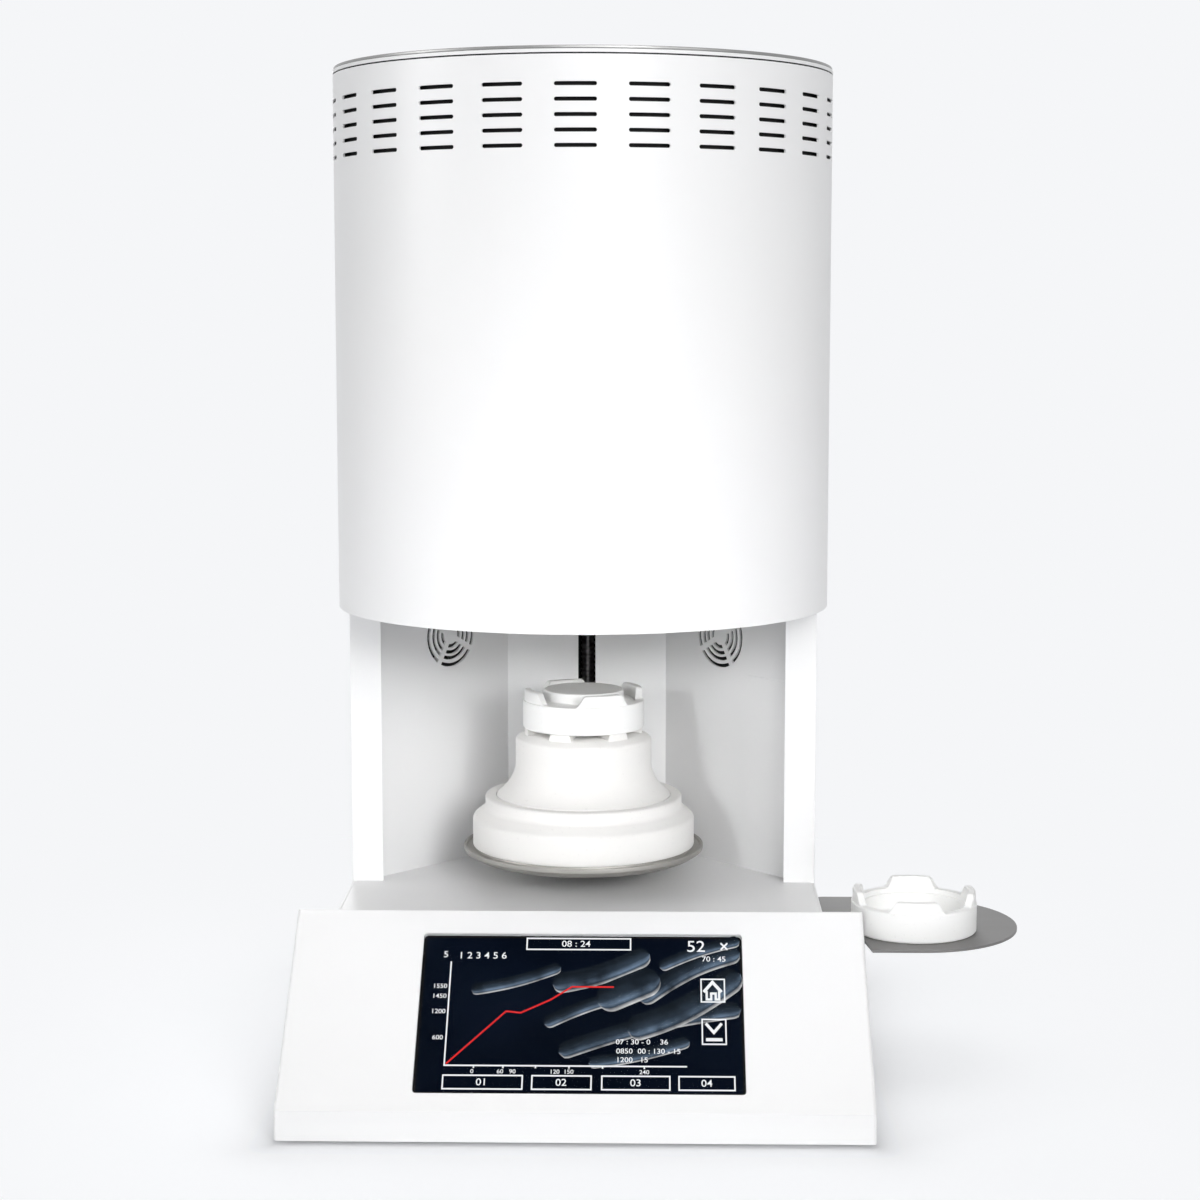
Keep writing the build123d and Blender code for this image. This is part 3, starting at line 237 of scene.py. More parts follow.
def rounded(points, steps=5):
    """A profile with its corners rounded; points are (radius, height, rounding).

    Each corner is replaced by a curve that leaves and joins the sides at its rounding's distance,
    by quadratic blending of the two side points and the corner."""
    p, radii = np.array(points, float)[:, :2], np.array(points, float)[:, 2]
    out = [p[0]]
    t = np.linspace(0, 1, steps + 1)[:, None]
    for before, here, after, r in zip(p[:-2], p[1:-1], p[2:], radii[1:-1]):
        back, on = before - here, after - here
        r = min(r, 0.49 * np.linalg.norm(back), 0.49 * np.linalg.norm(on))
        a = here + back / np.linalg.norm(back) * r
        b = here + on / np.linalg.norm(on) * r
        out.extend((1 - t) ** 2 * a + 2 * t * (1 - t) * here + t**2 * b)
    out.append(p[-1])
    return np.array(out)


def turned(name, profile, centre, segments=160, lift=None, smooth=35.0):
    """A surface of revolution: each profile point (radius, height) is carried round the vertical axis
    through centre, x = r sin(a), y = -r cos(a). lift(a, profile) may give the heights for every angle."""
    a = np.linspace(0, 2 * np.pi, segments, endpoint=False)
    profile = np.asarray(profile, float)
    r = np.broadcast_to(profile[:, 0], (segments, len(profile)))
    z = np.broadcast_to(profile[:, 1], r.shape) if lift is None else lift(a[:, None], profile)
    grid = np.stack([centre[0] + r * np.sin(a)[:, None], centre[1] - r * np.cos(a)[:, None], z], -1)
    return skin(name, grid, wrap_rows=True, smooth=smooth)


def soft_step(x, edge, width):
    """Rises from 0 to 1 as x passes edge, over width, with an even start and finish: 3t^2 - 2t^3."""
    t = np.clip((x - edge) / width + 0.5, 0, 1)
    return t * t * (3 - 2 * t)


def join(name, pieces):
    """Several pieces made into one object."""
    with bpy.context.temp_override(
        active_object=pieces[0], selected_editable_objects=pieces, selected_objects=pieces,
    ):
        bpy.ops.object.join()
    pieces[0].name = name
    return pieces[0]


def outwards(piece):
    """Turns a closed piece's faces outwards."""
    work = bmesh.new()
    work.from_mesh(piece.data)
    bmesh.ops.recalc_face_normals(work, faces=work.faces)
    work.to_mesh(piece.data)
    work.free()
    return piece


def add_modifier(piece, kind, **values):
    """One modifier with its values."""
    modifier = piece.modifiers.new(kind.title(), kind)
    for key, value in values.items():
        setattr(modifier, key, value)
    return modifier


def finish_piece(piece, finish, body, replaces=()):
    """Gives a made piece its material, the body it rides on and the nodes it stands for."""
    piece.data.materials.clear()
    piece.data.materials.append(finish)
    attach(piece, body)
    if replaces:
        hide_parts(*replaces)
    return piece


def dress(names, finish, smooth=30.0, bevel=0.0):
    """Keeps CAD nodes as they are, shades their round faces smoothly, softens their edges by bevel and
    gives them a material."""
    for name in names:
        node = NODES[name]
        shade_smooth(node.data)
        node.data.materials.clear()
        node.data.materials.append(finish)
        add_modifier(node, "WELD", merge_threshold=1e-5)
        if bevel:
            add_modifier(
                node, "BEVEL", width=bevel, segments=2, limit_method="ANGLE", angle_limit=math.radians(smooth),
            )
            add_modifier(node, "WEIGHTED_NORMAL", mode="FACE_AREA", weight=50)
        else:
            add_modifier(node, "EDGE_SPLIT", split_angle=math.radians(smooth))


# ------------------------------------------------------------ shader groups
def new_group(name, inputs, outputs):
    """An empty shader group with its named sockets; inputs and outputs are (name, kind, default)."""
    tree = bpy.data.node_groups.new(name, "ShaderNodeTree")
    for label, kind, default in inputs:
        socket = tree.interface.new_socket(label, in_out="INPUT", socket_type="NodeSocket" + kind)
        if default is not None:
            socket.default_value = default
    for label, kind in outputs:
        tree.interface.new_socket(label, in_out="OUTPUT", socket_type="NodeSocket" + kind)
    return tree, tree.nodes.new("NodeGroupInput"), tree.nodes.new("NodeGroupOutput")


def node(tree, kind, **values):
    """A node of the tree; values whose names are sockets set those, the others are the node's own settings."""
    made = tree.nodes.new("ShaderNode" + kind)
    for key, value in values.items():
        if hasattr(made, key):
            setattr(made, key, value)
        else:
            made.inputs[key.replace("_", " ")].default_value = value
    return made


def math_node(tree, operation, a, b=0.5):
    """A Math node; a and b are sockets or numbers."""
    made = tree.nodes.new("ShaderNodeMath")
    made.operation = operation
    for socket, value in zip(made.inputs, (a, b)):
        if hasattr(value, "links"):
            tree.links.new(value, socket)
        else:
            socket.default_value = value
    return made.outputs[0]


def grain_group():
    """Fine grain: two noises of the object's place, a small one for height and a large one for slow patches."""
    tree, inside, outside = new_group(
        "Fine grain", [("Scale", "Float", 900.0), ("Patch scale", "Float", 9.0)],
        [("Height", "Float"), ("Patch", "Float")],
    )
    place = node(tree, "TexCoord")
    fine = node(tree, "TexNoise", Detail=3.0, Roughness=0.55)
    slow = node(tree, "TexNoise", Detail=3.0)
    for noise, socket in ((fine, 0), (slow, 1)):
        tree.links.new(place.outputs["Object"], noise.inputs["Vector"])
        tree.links.new(inside.outputs[socket], noise.inputs["Scale"])
        tree.links.new(noise.outputs["Fac"], outside.inputs[socket])
    return tree


def line_noises(tree, inside, outside, place):
    """Ends a group of lines: fine lines and slow bands, both noises of the stretched place."""
    lines = node(tree, "TexNoise", Detail=4.0, Roughness=0.7)
    bands = node(tree, "TexNoise", Detail=2.0)
    tree.links.new(inside.outputs["Fineness"], lines.inputs["Scale"])
    tree.links.new(math_node(tree, "MULTIPLY", inside.outputs["Fineness"], 0.06), bands.inputs["Scale"])
    for noise, socket in ((lines, 0), (bands, 1)):
        tree.links.new(place, noise.inputs["Vector"])
        tree.links.new(noise.outputs["Fac"], outside.inputs[socket])
    return tree


def brush_group():
    """Brushed lines: noise stretched along X, so that it varies across the lines only."""
    tree, inside, outside = new_group(
        "Brushed lines", [("Fineness", "Float", 900.0), ("Stretch", "Float", 40.0)],
        [("Lines", "Float"), ("Bands", "Float")],
    )
    place = node(tree, "TexCoord")
    split = node(tree, "SeparateXYZ")
    whole = node(tree, "CombineXYZ")
    tree.links.new(place.outputs["Object"], split.inputs[0])
    tree.links.new(math_node(tree, "DIVIDE", split.outputs[0], inside.outputs["Stretch"]), whole.inputs[0])
    tree.links.new(split.outputs[1], whole.inputs[1])
    tree.links.new(split.outputs[2], whole.inputs[2])
    return line_noises(tree, inside, outside, whole.outputs[0])


def turned_group():
    """Turned lines: noise of the distance from an upright axis and of the height, so that it hardly
    varies round the axis."""
    tree, inside, outside = new_group(
        "Turned lines", [("Fineness", "Float", 900.0), ("Stretch", "Float", 0.004), ("Axis", "Vector", None)],
        [("Lines", "Float"), ("Bands", "Float")],
    )
    place = node(tree, "TexCoord")
    middle = node(tree, "VectorMath", operation="SUBTRACT")
    tree.links.new(place.outputs["Object"], middle.inputs[0])
    tree.links.new(inside.outputs["Axis"], middle.inputs[1])
    split = node(tree, "SeparateXYZ")
    whole = node(tree, "CombineXYZ")
    tree.links.new(middle.outputs[0], split.inputs[0])
    squares = [math_node(tree, "POWER", split.outputs[i], 2.0) for i in (0, 1)]
    distance = math_node(tree, "SQRT", math_node(tree, "ADD", *squares))
    turn = math_node(tree, "ARCTAN2", split.outputs[0], split.outputs[1])
    turn = math_node(tree, "MULTIPLY", turn, inside.outputs["Stretch"])
    for socket, value in zip(whole.inputs, (distance, turn, split.outputs[2])):
        tree.links.new(value, socket)
    return line_noises(tree, inside, outside, whole.outputs[0])


def settle_group():
    """Settled dust: how far a face looks up, broken by a soft noise, times an amount."""
    tree, inside, outside = new_group(
        "Settled dust", [("Amount", "Float", 0.2), ("Scale", "Float", 30.0)], [("Mask", "Float")],
    )
    geometry = node(tree, "NewGeometry")
    split = node(tree, "SeparateXYZ")
    tree.links.new(geometry.outputs["Normal"], split.inputs[0])
    place = node(tree, "TexCoord")
    noise = node(tree, "TexNoise", Detail=4.0)
    tree.links.new(place.outputs["Object"], noise.inputs["Vector"])
    tree.links.new(inside.outputs["Scale"], noise.inputs["Scale"])
    up = math_node(tree, "MAXIMUM", split.outputs[2], 0.0)
    broken = math_node(tree, "MULTIPLY", up, noise.outputs["Fac"])
    tree.links.new(math_node(tree, "MULTIPLY", broken, inside.outputs["Amount"]), outside.inputs[0])
    return tree


def pore_group():
    """Pores and specks: small cells whose middles sink, and a slow cloud of tone."""
    tree, inside, outside = new_group(
        "Fired pores", [("Pore scale", "Float", 700.0), ("Cloud scale", "Float", 22.0)],
        [("Height", "Float"), ("Cloud", "Float"), ("Speck", "Float")],
    )
    place = node(tree, "TexCoord")
    cells = node(tree, "TexVoronoi")
    cloud = node(tree, "TexNoise", Detail=5.0, Roughness=0.6)
    tree.links.new(place.outputs["Object"], cells.inputs["Vector"])
    tree.links.new(place.outputs["Object"], cloud.inputs["Vector"])
    tree.links.new(inside.outputs[0], cells.inputs["Scale"])
    tree.links.new(inside.outputs[1], cloud.inputs["Scale"])
    pit = math_node(tree, "MINIMUM", math_node(tree, "MULTIPLY", cells.outputs["Distance"], 3.0), 1.0)
    tree.links.new(pit, outside.inputs[0])
    tree.links.new(cloud.outputs["Fac"], outside.inputs[1])
    speck = node(tree, "TexNoise", Detail=2.0)
    tree.links.new(place.outputs["Object"], speck.inputs["Vector"])
    tree.links.new(math_node(tree, "MULTIPLY", inside.outputs[0], 0.35), speck.inputs["Scale"])
    sharp = math_node(tree, "MULTIPLY", math_node(tree, "SUBTRACT", speck.outputs["Fac"], 0.66), 14.0)
    tree.links.new(math_node(tree, "MINIMUM", math_node(tree, "MAXIMUM", sharp, 0.0), 1.0), outside.inputs[2])
    return tree


MAKERS = {
    "Fine grain": grain_group,
    "Brushed lines": brush_group,
    "Turned lines": turned_group,
    "Settled dust": settle_group,
    "Fired pores": pore_group,
}
# Each kind of finish: its group, its usual scale, its other inputs, and its outputs for height and tone.
PATTERNS = {
    "grain": ("Fine grain", 900.0, (9.0,), "Height", "Patch"),
    "brush": ("Brushed lines", 900.0, (40.0,), "Lines", "Bands"),
    "turned": ("Turned lines", 900.0, (0.004, (AXIS[0], AXIS[1], 0.0)), "Lines", "Bands"),
    "pores": ("Fired pores", 700.0, (22.0,), "Height", "Cloud"),
}
DUST = (0.62, 0.59, 0.54, 1)


def use_group(tree, name, *values):
    """A shader group placed in a material, with its inputs' own values in order."""
    made = tree.nodes.new("ShaderNodeGroup")
    made.node_tree = bpy.data.node_groups.get(name) or MAKERS[name]()
    for socket, value in zip(made.inputs, values):
        socket.default_value = value
    return made


def shade(colour, factor):
    """A colour made lighter or darker."""
    return tuple(min(1.0, c * factor) for c in colour[:3]) + (1.0,)


def mix_colour(tree, mask, first, second):
    """Colour that goes from first to second as the mask goes from 0 to 1."""
    mix = tree.nodes.new("ShaderNodeMix")
    mix.data_type = "RGBA"
    tree.links.new(mask, mix.inputs["Factor"])
    for socket, value in ((mix.inputs[6], first), (mix.inputs[7], second)):
        if hasattr(value, "links"):
            tree.links.new(value, socket)
        else:
            socket.default_value = value
    return mix.outputs[2]


def spread(tree, value, low, high):
    """A mask stretched between two numbers."""
    made = node(tree, "MapRange", To_Min=low, To_Max=high)
    tree.links.new(value, made.inputs["Value"])
    return made.outputs[0]


def new_material(name):
    """A material with nodes, and its tree."""
    material = bpy.data.materials.new(name)
    material.use_nodes = True
    return material, material.node_tree


def finish(
    name, colour, rough, kind="grain", metal=0.0, bump=0.03, depth=0.0002, dust=0.0, scale=None, vary=0.04, **shader,
):
    """A material: a base colour varied by its pattern, a roughness range, a bump and, if asked, dust.

    kind is grain (coats and plastics), brush (rolled metal), turned (metal turned on the head's axis)
    or pores (ceramics and fibre)."""
    if name in bpy.data.materials:
        return bpy.data.materials[name]
    material, tree = new_material(name)
    surface = tree.nodes["Principled BSDF"]
    surface.inputs["Metallic"].default_value = metal
    for key, value in shader.items():
        surface.inputs[key.replace("_", " ")].default_value = value
    group, usual, more, height, tone = PATTERNS[kind]
    pattern = use_group(tree, group, scale or usual, *more)
    height, tone = pattern.outputs[height], pattern.outputs[tone]
    paint = mix_colour(tree, tone, shade(colour, 1 - vary), shade(colour, 1 + vary))
    if kind in ("brush", "turned"):
        paint = mix_colour(tree, spread(tree, height, 0.0, 0.5), paint, shade(colour, 1 - 4 * vary))
    if kind == "pores":
        paint = mix_colour(tree, spread(tree, pattern.outputs["Speck"], 0.0, 0.25), paint, shade(colour, 0.8))
    if dust:
        settled = use_group(tree, "Settled dust", dust, 30.0)
        paint = mix_colour(tree, settled.outputs["Mask"], paint, DUST)
    tree.links.new(paint, surface.inputs["Base Color"])
    tree.links.new(spread(tree, tone, rough * 0.88, min(1.0, rough * 1.12)), surface.inputs["Roughness"])
    relief = node(tree, "Bump", Strength=bump, Distance=depth)
    tree.links.new(height, relief.inputs["Height"])
    tree.links.new(relief.outputs[0], surface.inputs["Normal"])
    return material


def looked_at(tree):
    """1 for the rays with which the camera, glass and gloss look, and 0 for all others."""
    path = node(tree, "LightPath")
    seen = math_node(tree, "MAXIMUM", path.outputs["Is Camera Ray"], path.outputs["Is Transmission Ray"])
    return math_node(tree, "MAXIMUM", seen, path.outputs["Is Glossy Ray"])


def one_less(tree, value):
    """1 minus the value."""
    return math_node(tree, "SUBTRACT", 1.0, value)


def mix_shaders(tree, mask, first, second, output):
    """Sends to the output a shader that goes from first to second as the mask goes from 0 to 1."""
    mix = node(tree, "MixShader")
    for value, socket in zip((mask, first.outputs[0], second.outputs[0]), mix.inputs):
        tree.links.new(value, socket)
    tree.links.new(mix.outputs[0], node(tree, output).inputs[0])


def lit(name, colour, strength):
    """A flat lit finish for what a screen shows, dark under outside light."""
    material, tree = new_material(name)
    surface = tree.nodes["Principled BSDF"]
    surface.inputs["Base Color"].default_value = shade(colour, 0.03)
    surface.inputs["Roughness"].default_value = 0.6
    surface.inputs["Specular IOR Level"].default_value = 0.0
    surface.inputs["Emission Color"].default_value = colour
    surface.inputs["Emission Strength"].default_value = strength
    return material


# ------------------------------------------------------------- the operators
class FurnaceStep(bpy.types.Operator):
    """One step of dressing the furnace."""

    bl_options = {"REGISTER"}

    def execute(self, context):
        self.build(context.scene)
        return {"FINISHED"}


class FURNACE_OT_head(FurnaceStep):
    """Rolls the slotted head shell and finishes the head's plate, cap, trim and seam"""

    bl_idname = "furnace.head"
    bl_label = "Head"

    def build(self, scene):
        p = scene.furnace_head
        radius = half_width("head_shell")
        white = coat(scene)
        # Columns: along each group, slot ends finely, then the plain sheet between two groups.
        half, tip = p.slot_length / 2, p.slot_height / 2
        ends = half - tip + tip * np.sin(np.linspace(0, np.pi / 2, 7))
        straight = np.linspace(-half + tip, half - tip, 8)[1:-1]
        s = np.concatenate([-ends[::-1], straight, ends])
        gap = 2 * np.pi * radius / p.groups - p.slot_length
        s = np.concatenate([s, half + np.linspace(0, gap, 8)[1:-1]])
        rise = np.sqrt(np.clip(tip**2 - np.clip(np.abs(s) - (half - tip), 0, tip) ** 2, 0, None))
        rise[np.abs(s) >= half] = 0
        angle = (np.arange(p.groups)[:, None] * 2 * np.pi / p.groups + s / radius).ravel()
        rise = np.tile(rise, p.groups)
        # Rows: heights up the shell; at a row of slots one line runs under it and one over it.
        top, low = HEAD_HIGH[2], HEAD_LOW[2]
        middles = top - p.first_row - p.row_pitch * np.arange(p.rows)[::-1]
        lines = [np.full_like(angle, z) for z in np.linspace(low, middles[0] - 0.006, 14)]
        hole_after = []
        for z in middles:
            hole_after.append(len(lines))
            lines += [z - rise, z + rise]
        lines += [np.full_like(angle, z) for z in (top - 0.008, top)]
        z = np.array(lines)
        x = np.broadcast_to(AXIS[0] + radius * np.sin(angle), z.shape)
        y = np.broadcast_to(AXIS[1] - radius * np.cos(angle), z.shape)
        grid = np.stack([x, y, z], -1)
        keep = np.ones((len(lines) - 1, len(angle)), bool)
        keep[hole_after] = False
        shell = skin("head_shell_rolled", grid, wrap_columns=True, keep=keep, smooth=0)
        shade_smooth(shell.data)
        add_modifier(shell, "SOLIDIFY", thickness=p.wall, offset=-1.0, use_even_offset=False)
        add_modifier(shell, "EDGE_SPLIT", split_angle=math.radians(35))
        finish_piece(shell, white, "housing", ["head_shell"])
        # A near-black sheet just behind the slots is painted shade: it makes the slots read dark, as the shade inside
        # the head would.
        behind, thin = radius - 0.006, 0.0006
        base, tip = middles[0] - p.row_pitch, corners("top_cap")[0][2] - 0.0005
        ring = [(behind - thin, base), (behind, base), (behind, tip), (behind - thin, tip), (behind - thin, base)]
        screen = outwards(turned("vent_shade_sheet", ring, AXIS, 160))
        mesh = finish("Vent painted shade", (0.004, 0.004, 0.004, 1), 0.8, bump=0.4, scale=1400.0)
        finish_piece(screen, mesh, "housing")
        dress(["top_cap"], white)
        dress(
            ["cap_trim_ring"], finish("Trim gray", scene.furnace_colours.gray, 0.36, "turned", metal=0.85),
            bevel=0.0006,
        )
        dress(["seam_gasket"], finish("Seam rubber", (0.012, 0.012, 0.012, 1), 0.75))
        dress(["head_bottom_plate"], zinc())


def coat(scene):
    """The housing's satin white powder coat."""
    return finish(
        "White powder coat", scene.furnace_colours.white, 0.36, bump=0.045, depth=0.0003, dust=0.05, vary=0.008,
        scale=1100.0, Specular_IOR_Level=0.5,
    )


def zinc():
    """Zinc plated sheet."""
    return finish("Zinc plated steel", (0.60, 0.61, 0.62, 1), 0.42, "brush", metal=0.85, vary=0.06, scale=300.0)


class FURNACE_OT_insulation(FurnaceStep):
    """Finishes the fibre insulation, the heating elements, their holders and straps and the thermocouple"""

    bl_idname = "furnace.insulation"
    bl_label = "Insulation and elements"

    def build(self, scene):
        coarse = dict(kind="pores", bump=0.5, depth=0.0008, scale=420.0)
        board = finish("Fibre board", (0.80, 0.77, 0.71, 1), 0.93, vary=0.05, **coarse)
        dress(["mouth_ring", "chamber_insulation", "insulation_plug"], board)
        # The outer fibre is coloured near black. This is painted shade, so that the head's inside reads dark through
        # the slots.
        dress(["outer_insulation"], finish("Outer fibre painted shade", (0.045, 0.044, 0.042, 1), 0.95, vary=0.1, **coarse))
        dress(
            ["heating_elements"],
            finish("Element glaze", (0.035, 0.032, 0.033, 1), 0.34, "pores", metal=0.3, scale=900.0, vary=0.15),
            smooth=40,
        )
        dress(
            ["power_straps"],
            finish("Braided strap", (0.62, 0.62, 0.63, 1), 0.45, "brush", metal=1.0, scale=1500.0, vary=0.12),
        )
        dress(
            ["element_holders", "thermocouple"],
            finish("Probe ceramic", (0.78, 0.74, 0.66, 1), 0.55, "pores", scale=900.0), smooth=40,
        )


class FURNACE_OT_ceramics(FurnaceStep):
    """Shapes the insulation block, the pedestal with its gas ribs, the trays with their lugs and the lid"""

    bl_idname = "furnace.ceramics"
    bl_label = "Ceramics"

    def build(self, scene):
        p = scene.furnace_ceramics
        clay = finish(
            "Fired block ceramic", scene.furnace_colours.clay, 0.82, "pores", bump=0.12, depth=0.0003, scale=900.0,
            vary=0.012,
        )
        glaze = finish(
            "Tray ceramic", scene.furnace_colours.tray, 0.62, "pores", bump=0.05, depth=0.0002, scale=1300.0,
            vary=0.01,
        )
        e = p.edge
        # The block: band, cone, ring and the socket that takes the pedestal's foot.
        low, high = corners("base_block")
        foot = corners("pedestal")[0][2]
        band, shoulder, cone = low[2] + 0.0238, 0.092, 0.0816
        socket = half_width("pedestal") + 0.0005
        profile = rounded([
            (0, low[2], 0), (shoulder, low[2], e), (shoulder, band, 2.2 * e), (cone, band + 0.0079, 2 * e),
            (cone, high[2], 1.6 * e), (socket, high[2], e / 2), (socket, foot, 0.0002), (0, foot, 0),
        ])
        block = turned("insulation_block", profile, AXIS, 192)
        finish_piece(block, clay, "lift", ["base_block"])
        # The pedestal: a flared bell, a straight neck, a chamfer and the ribs on its top.
        low, high = corners("pedestal")
        bell = half_width("pedestal")
        top = high[2] - p.rib_height
        ring = corners("base_block")[1][2]
        t = np.linspace(0, 1, 20)[:, None]
        neck, shoulder_low, reach = 0.0563, high[2] - 0.0090, 0.0484
        start, pull, end = np.array([[bell, ring + 0.0006], [0.0575, ring + 0.0118], [neck, ring + 0.0262]])
        flare = (1 - t) ** 2 * start + 2 * t * (1 - t) * pull + t**2 * end
        slope = (top - shoulder_low) / (neck - 0.0457)
        face = shoulder_low + (neck - reach) * slope
        upper = rounded([
            (neck, ring + 0.027, 0), (neck, shoulder_low, 2 * e), (reach + 0.0004, face - 0.0004 * slope, 0.0003),
            (reach, high[2], 0.0007), (0.018, high[2], 0.0008), (0.0168, top, 0.0004), (0, top, 0),
        ])
        foot_line = rounded([(0, low[2], 0), (bell, low[2], 0.0004), (bell, ring + 0.0006, 0)], 3)
        profile = np.concatenate([foot_line, flare[1:], upper[1:]])

        def ribbed(a, line):
            """Heights of the pedestal: away from the ribs they fall back to the shoulder's slope, and inside
            it to its flat top."""
            pitch = np.pi / p.ribs
            turn = np.abs((a - p.rib_turn + pitch) % (2 * pitch) - pitch)
            rib = 1 - soft_step(turn, p.rib_angle / 2, 0.03)
            bare = np.minimum(top, shoulder_low + np.maximum(neck - line[:, 0], 0) * slope)
            bare = np.minimum(line[:, 1], bare)
            return bare + (line[:, 1] - bare) * rib

        pedestal = turned("pedestal_bell", profile, AXIS, 288, ribbed)
        finish_piece(pedestal, clay, "lift", ["pedestal"])
        for name, node_name, body, turn in (
            ("tray_with_lugs", "crucible", "tray", p.lug_turn),
            ("spare_tray_with_lugs", "side_crucible", "spare_tray", p.spare_turn),
        ):
            piece = self.tray(p, name, node_name, turn)
            finish_piece(piece, glaze, body, [node_name])
        low, high = corners("crucible_lid")
        rim = half_width("crucible_lid")
        profile = rounded([
            (0, low[2], 0), (rim, low[2], 0.0006), (rim, low[2] + 0.0035, 0.0012), (0.0335, low[2] + 0.0042, 0.001),
            (0.033, high[2], 0.0016), (0.029, high[2] - 0.0002, 0.004), (0, high[2] - 0.0009, 0),
        ])
        lid = turned("tray_lid", profile, (low + high) / 2, 160)
        finish_piece(lid, glaze, "tray_lid", ["crucible_lid"])

    def tray(self, p, name, node_name, turn):
        """A round tray: floor, band, ledge for the lid and a rim that rises into four lugs, its height a
        soft step of the angle."""
        low, high = corners(node_name)
        outer = half_width(node_name)
        band, lug = low[2] + 0.0227, high[2]
        inner, ledge, floor = outer - 0.007, low[2] + 0.019, low[2] + 0.006
        e = p.tray_edge
        wall, pocket = outer - 0.0012, inner - 0.0025
        profile = rounded([
            (0, low[2], 0), (outer - 0.001, low[2], 0.0004), (outer, low[2] + 0.001, 0.0004),
            (outer, band - 0.0002, 0.0005), (wall, band + 0.0002, 0.0002), (wall, lug, 1.6 * e),
            (inner, lug, 1.6 * e), (inner, ledge, 0.0004), (pocket, ledge, 0.0006), (pocket, floor, 0.003),
            (0, floor, 0),
        ])

        def lugs(a, line):
            """Heights above the band are drawn down to it in the gaps between the lugs."""
            away = np.abs((a - turn) % (np.pi / 2) - np.pi / 4)
            rise = soft_step(away, p.lug_gap / 2 + p.lug_slope / 2, p.lug_slope * 1.25)
            over = np.maximum(line[:, 1] - band, 0)
            return np.minimum(line[:, 1], band) + over * (rise * 0.985 + 0.015)

        return turned(name, profile, (low + high) / 2, 360, lugs)


class FURNACE_OT_housing(FurnaceStep):
    """Finishes the sheet housing, its deck, columns, inner panel, rear cover, feet and screws"""

    bl_idname = "furnace.housing"
    bl_label = "Housing"

    def build(self, scene):
        white = coat(scene)
        dress(
            ["console_cover", "side_panel_left", "side_panel_right", "access_cover", "deck_plate"], white,
            bevel=0.0004,
        )
        dress(["inner_panel", "rear_cover", "housing_top_plate"], white)
        dress(["base_pan", "frame_posts"], zinc())
        dress(["rubber_feet"], finish("Foot rubber", (0.016, 0.016, 0.016, 1), 0.82, bump=0.2), bevel=0.0005)
        dress(
            ["rear_cover_screws"],
            finish("Bright screws", (0.5, 0.5, 0.51, 1), 0.26, "brush", metal=1.0, scale=500.0),
        )
        black = finish("Black coat", scene.furnace_colours.black, 0.6, bump=0.08)
        dress(["mast_channel", "lift_motor"], black, bevel=0.0004)
        dress(["motor_plate", "lower_rod_block", "upper_rod_block"], machined(), bevel=0.0003)


def machined():
    """Milled aluminium."""
    return finish("Milled aluminium", (0.56, 0.57, 0.58, 1), 0.33, "brush", metal=1.0, vary=0.05, scale=700.0)


class FURNACE_OT_lift(FurnaceStep):
    """Finishes the lift plate and arm, and cuts the lead screw's thread"""

    bl_idname = "furnace.lift"
    bl_label = "Lift"

    def build(self, scene):
        c = scene.furnace_colours
        low, high = corners("lift_plate")
        rim, up, down = half_width("lift_plate"), high[2], low[2]
        under = half_width("base_block") - 0.0008
        # The plate: a flat underside, a flared wall, a lip and a groove between the lip and the block.
        groove = up - 0.0016
        profile = rounded([
            (0, down, 0), (rim - 0.0085, down, 0.0030), (rim - 0.0006, up - 0.0040, 0.0004),
            (rim, up - 0.0034, 0.0004), (rim, up, 0.0006), (rim - 0.0024, up, 0.0006),
            (rim - 0.0030, groove, 0.0006), (under, groove, 0.0004), (under - 0.0006, up, 0.0002), (0, up, 0),
        ])
        plate = turned("lift_plate_lipped", profile, (low + high) / 2, 224)
        metal = finish("Turned lift plate", c.plate, 0.42, "turned", metal=0.75, vary=0.05, scale=520.0)
        finish_piece(plate, metal, "lift", ["lift_plate"])
        dress(["lift_arm"], finish("Black coat", c.black, 0.6), bevel=0.0005)
        dress(["lift_carriage", "shaft_coupler"], machined(), bevel=0.0004)
        dress(
            ["linear_bushings", "guide_rods"],
            finish("Ground chrome", (0.7, 0.7, 0.71, 1), 0.12, "brush", metal=1.0, vary=0.02, scale=900.0),
        )
        dress(
            ["screw_nut"], finish("Turned bronze", (0.48, 0.28, 0.09, 1), 0.3, "brush", metal=1.0, scale=700.0),
            bevel=0.0004,
        )
        low, high = corners("lead_screw")
        middle, radius, lead, depth = (low + high) / 2, half_width("lead_screw"), 0.005, 0.0009
        sides, rows_in_a_lead = 20, 9
        # Thread: z climbs one lead a turn; the radius dips to a trapezium once in each lead.
        a = np.linspace(0, 2 * np.pi, sides, endpoint=False)
        z = np.linspace(low[2], high[2], int((high[2] - low[2]) / lead * rows_in_a_lead))
        phase = ((z[None] - low[2]) / lead + a[:, None] / (2 * np.pi)) % 1.0
        dip = np.clip(np.minimum(phase, 1 - phase) * 6 - 0.8, 0, 1)
        r = radius - depth * dip
        r[:, 0] = r[:, -1] = radius - depth
        x, y = middle[0] + r * np.cos(a)[:, None], middle[1] + r * np.sin(a)[:, None]
        grid = np.stack([x, y, np.broadcast_to(z, r.shape)], -1)
        start, end = (np.broadcast_to([middle[0], middle[1], tip[2]], (sides, 1, 3)) for tip in (low, high))
        screw = skin("lead_screw_thread", np.concatenate([start, grid, end], 1), wrap_rows=True, smooth=50)
        steel = finish("Screw steel", (0.42, 0.42, 0.43, 1), 0.3, "brush", metal=1.0, scale=700.0)
        finish_piece(outwards(screw), steel, "screw", ["lead_screw"])


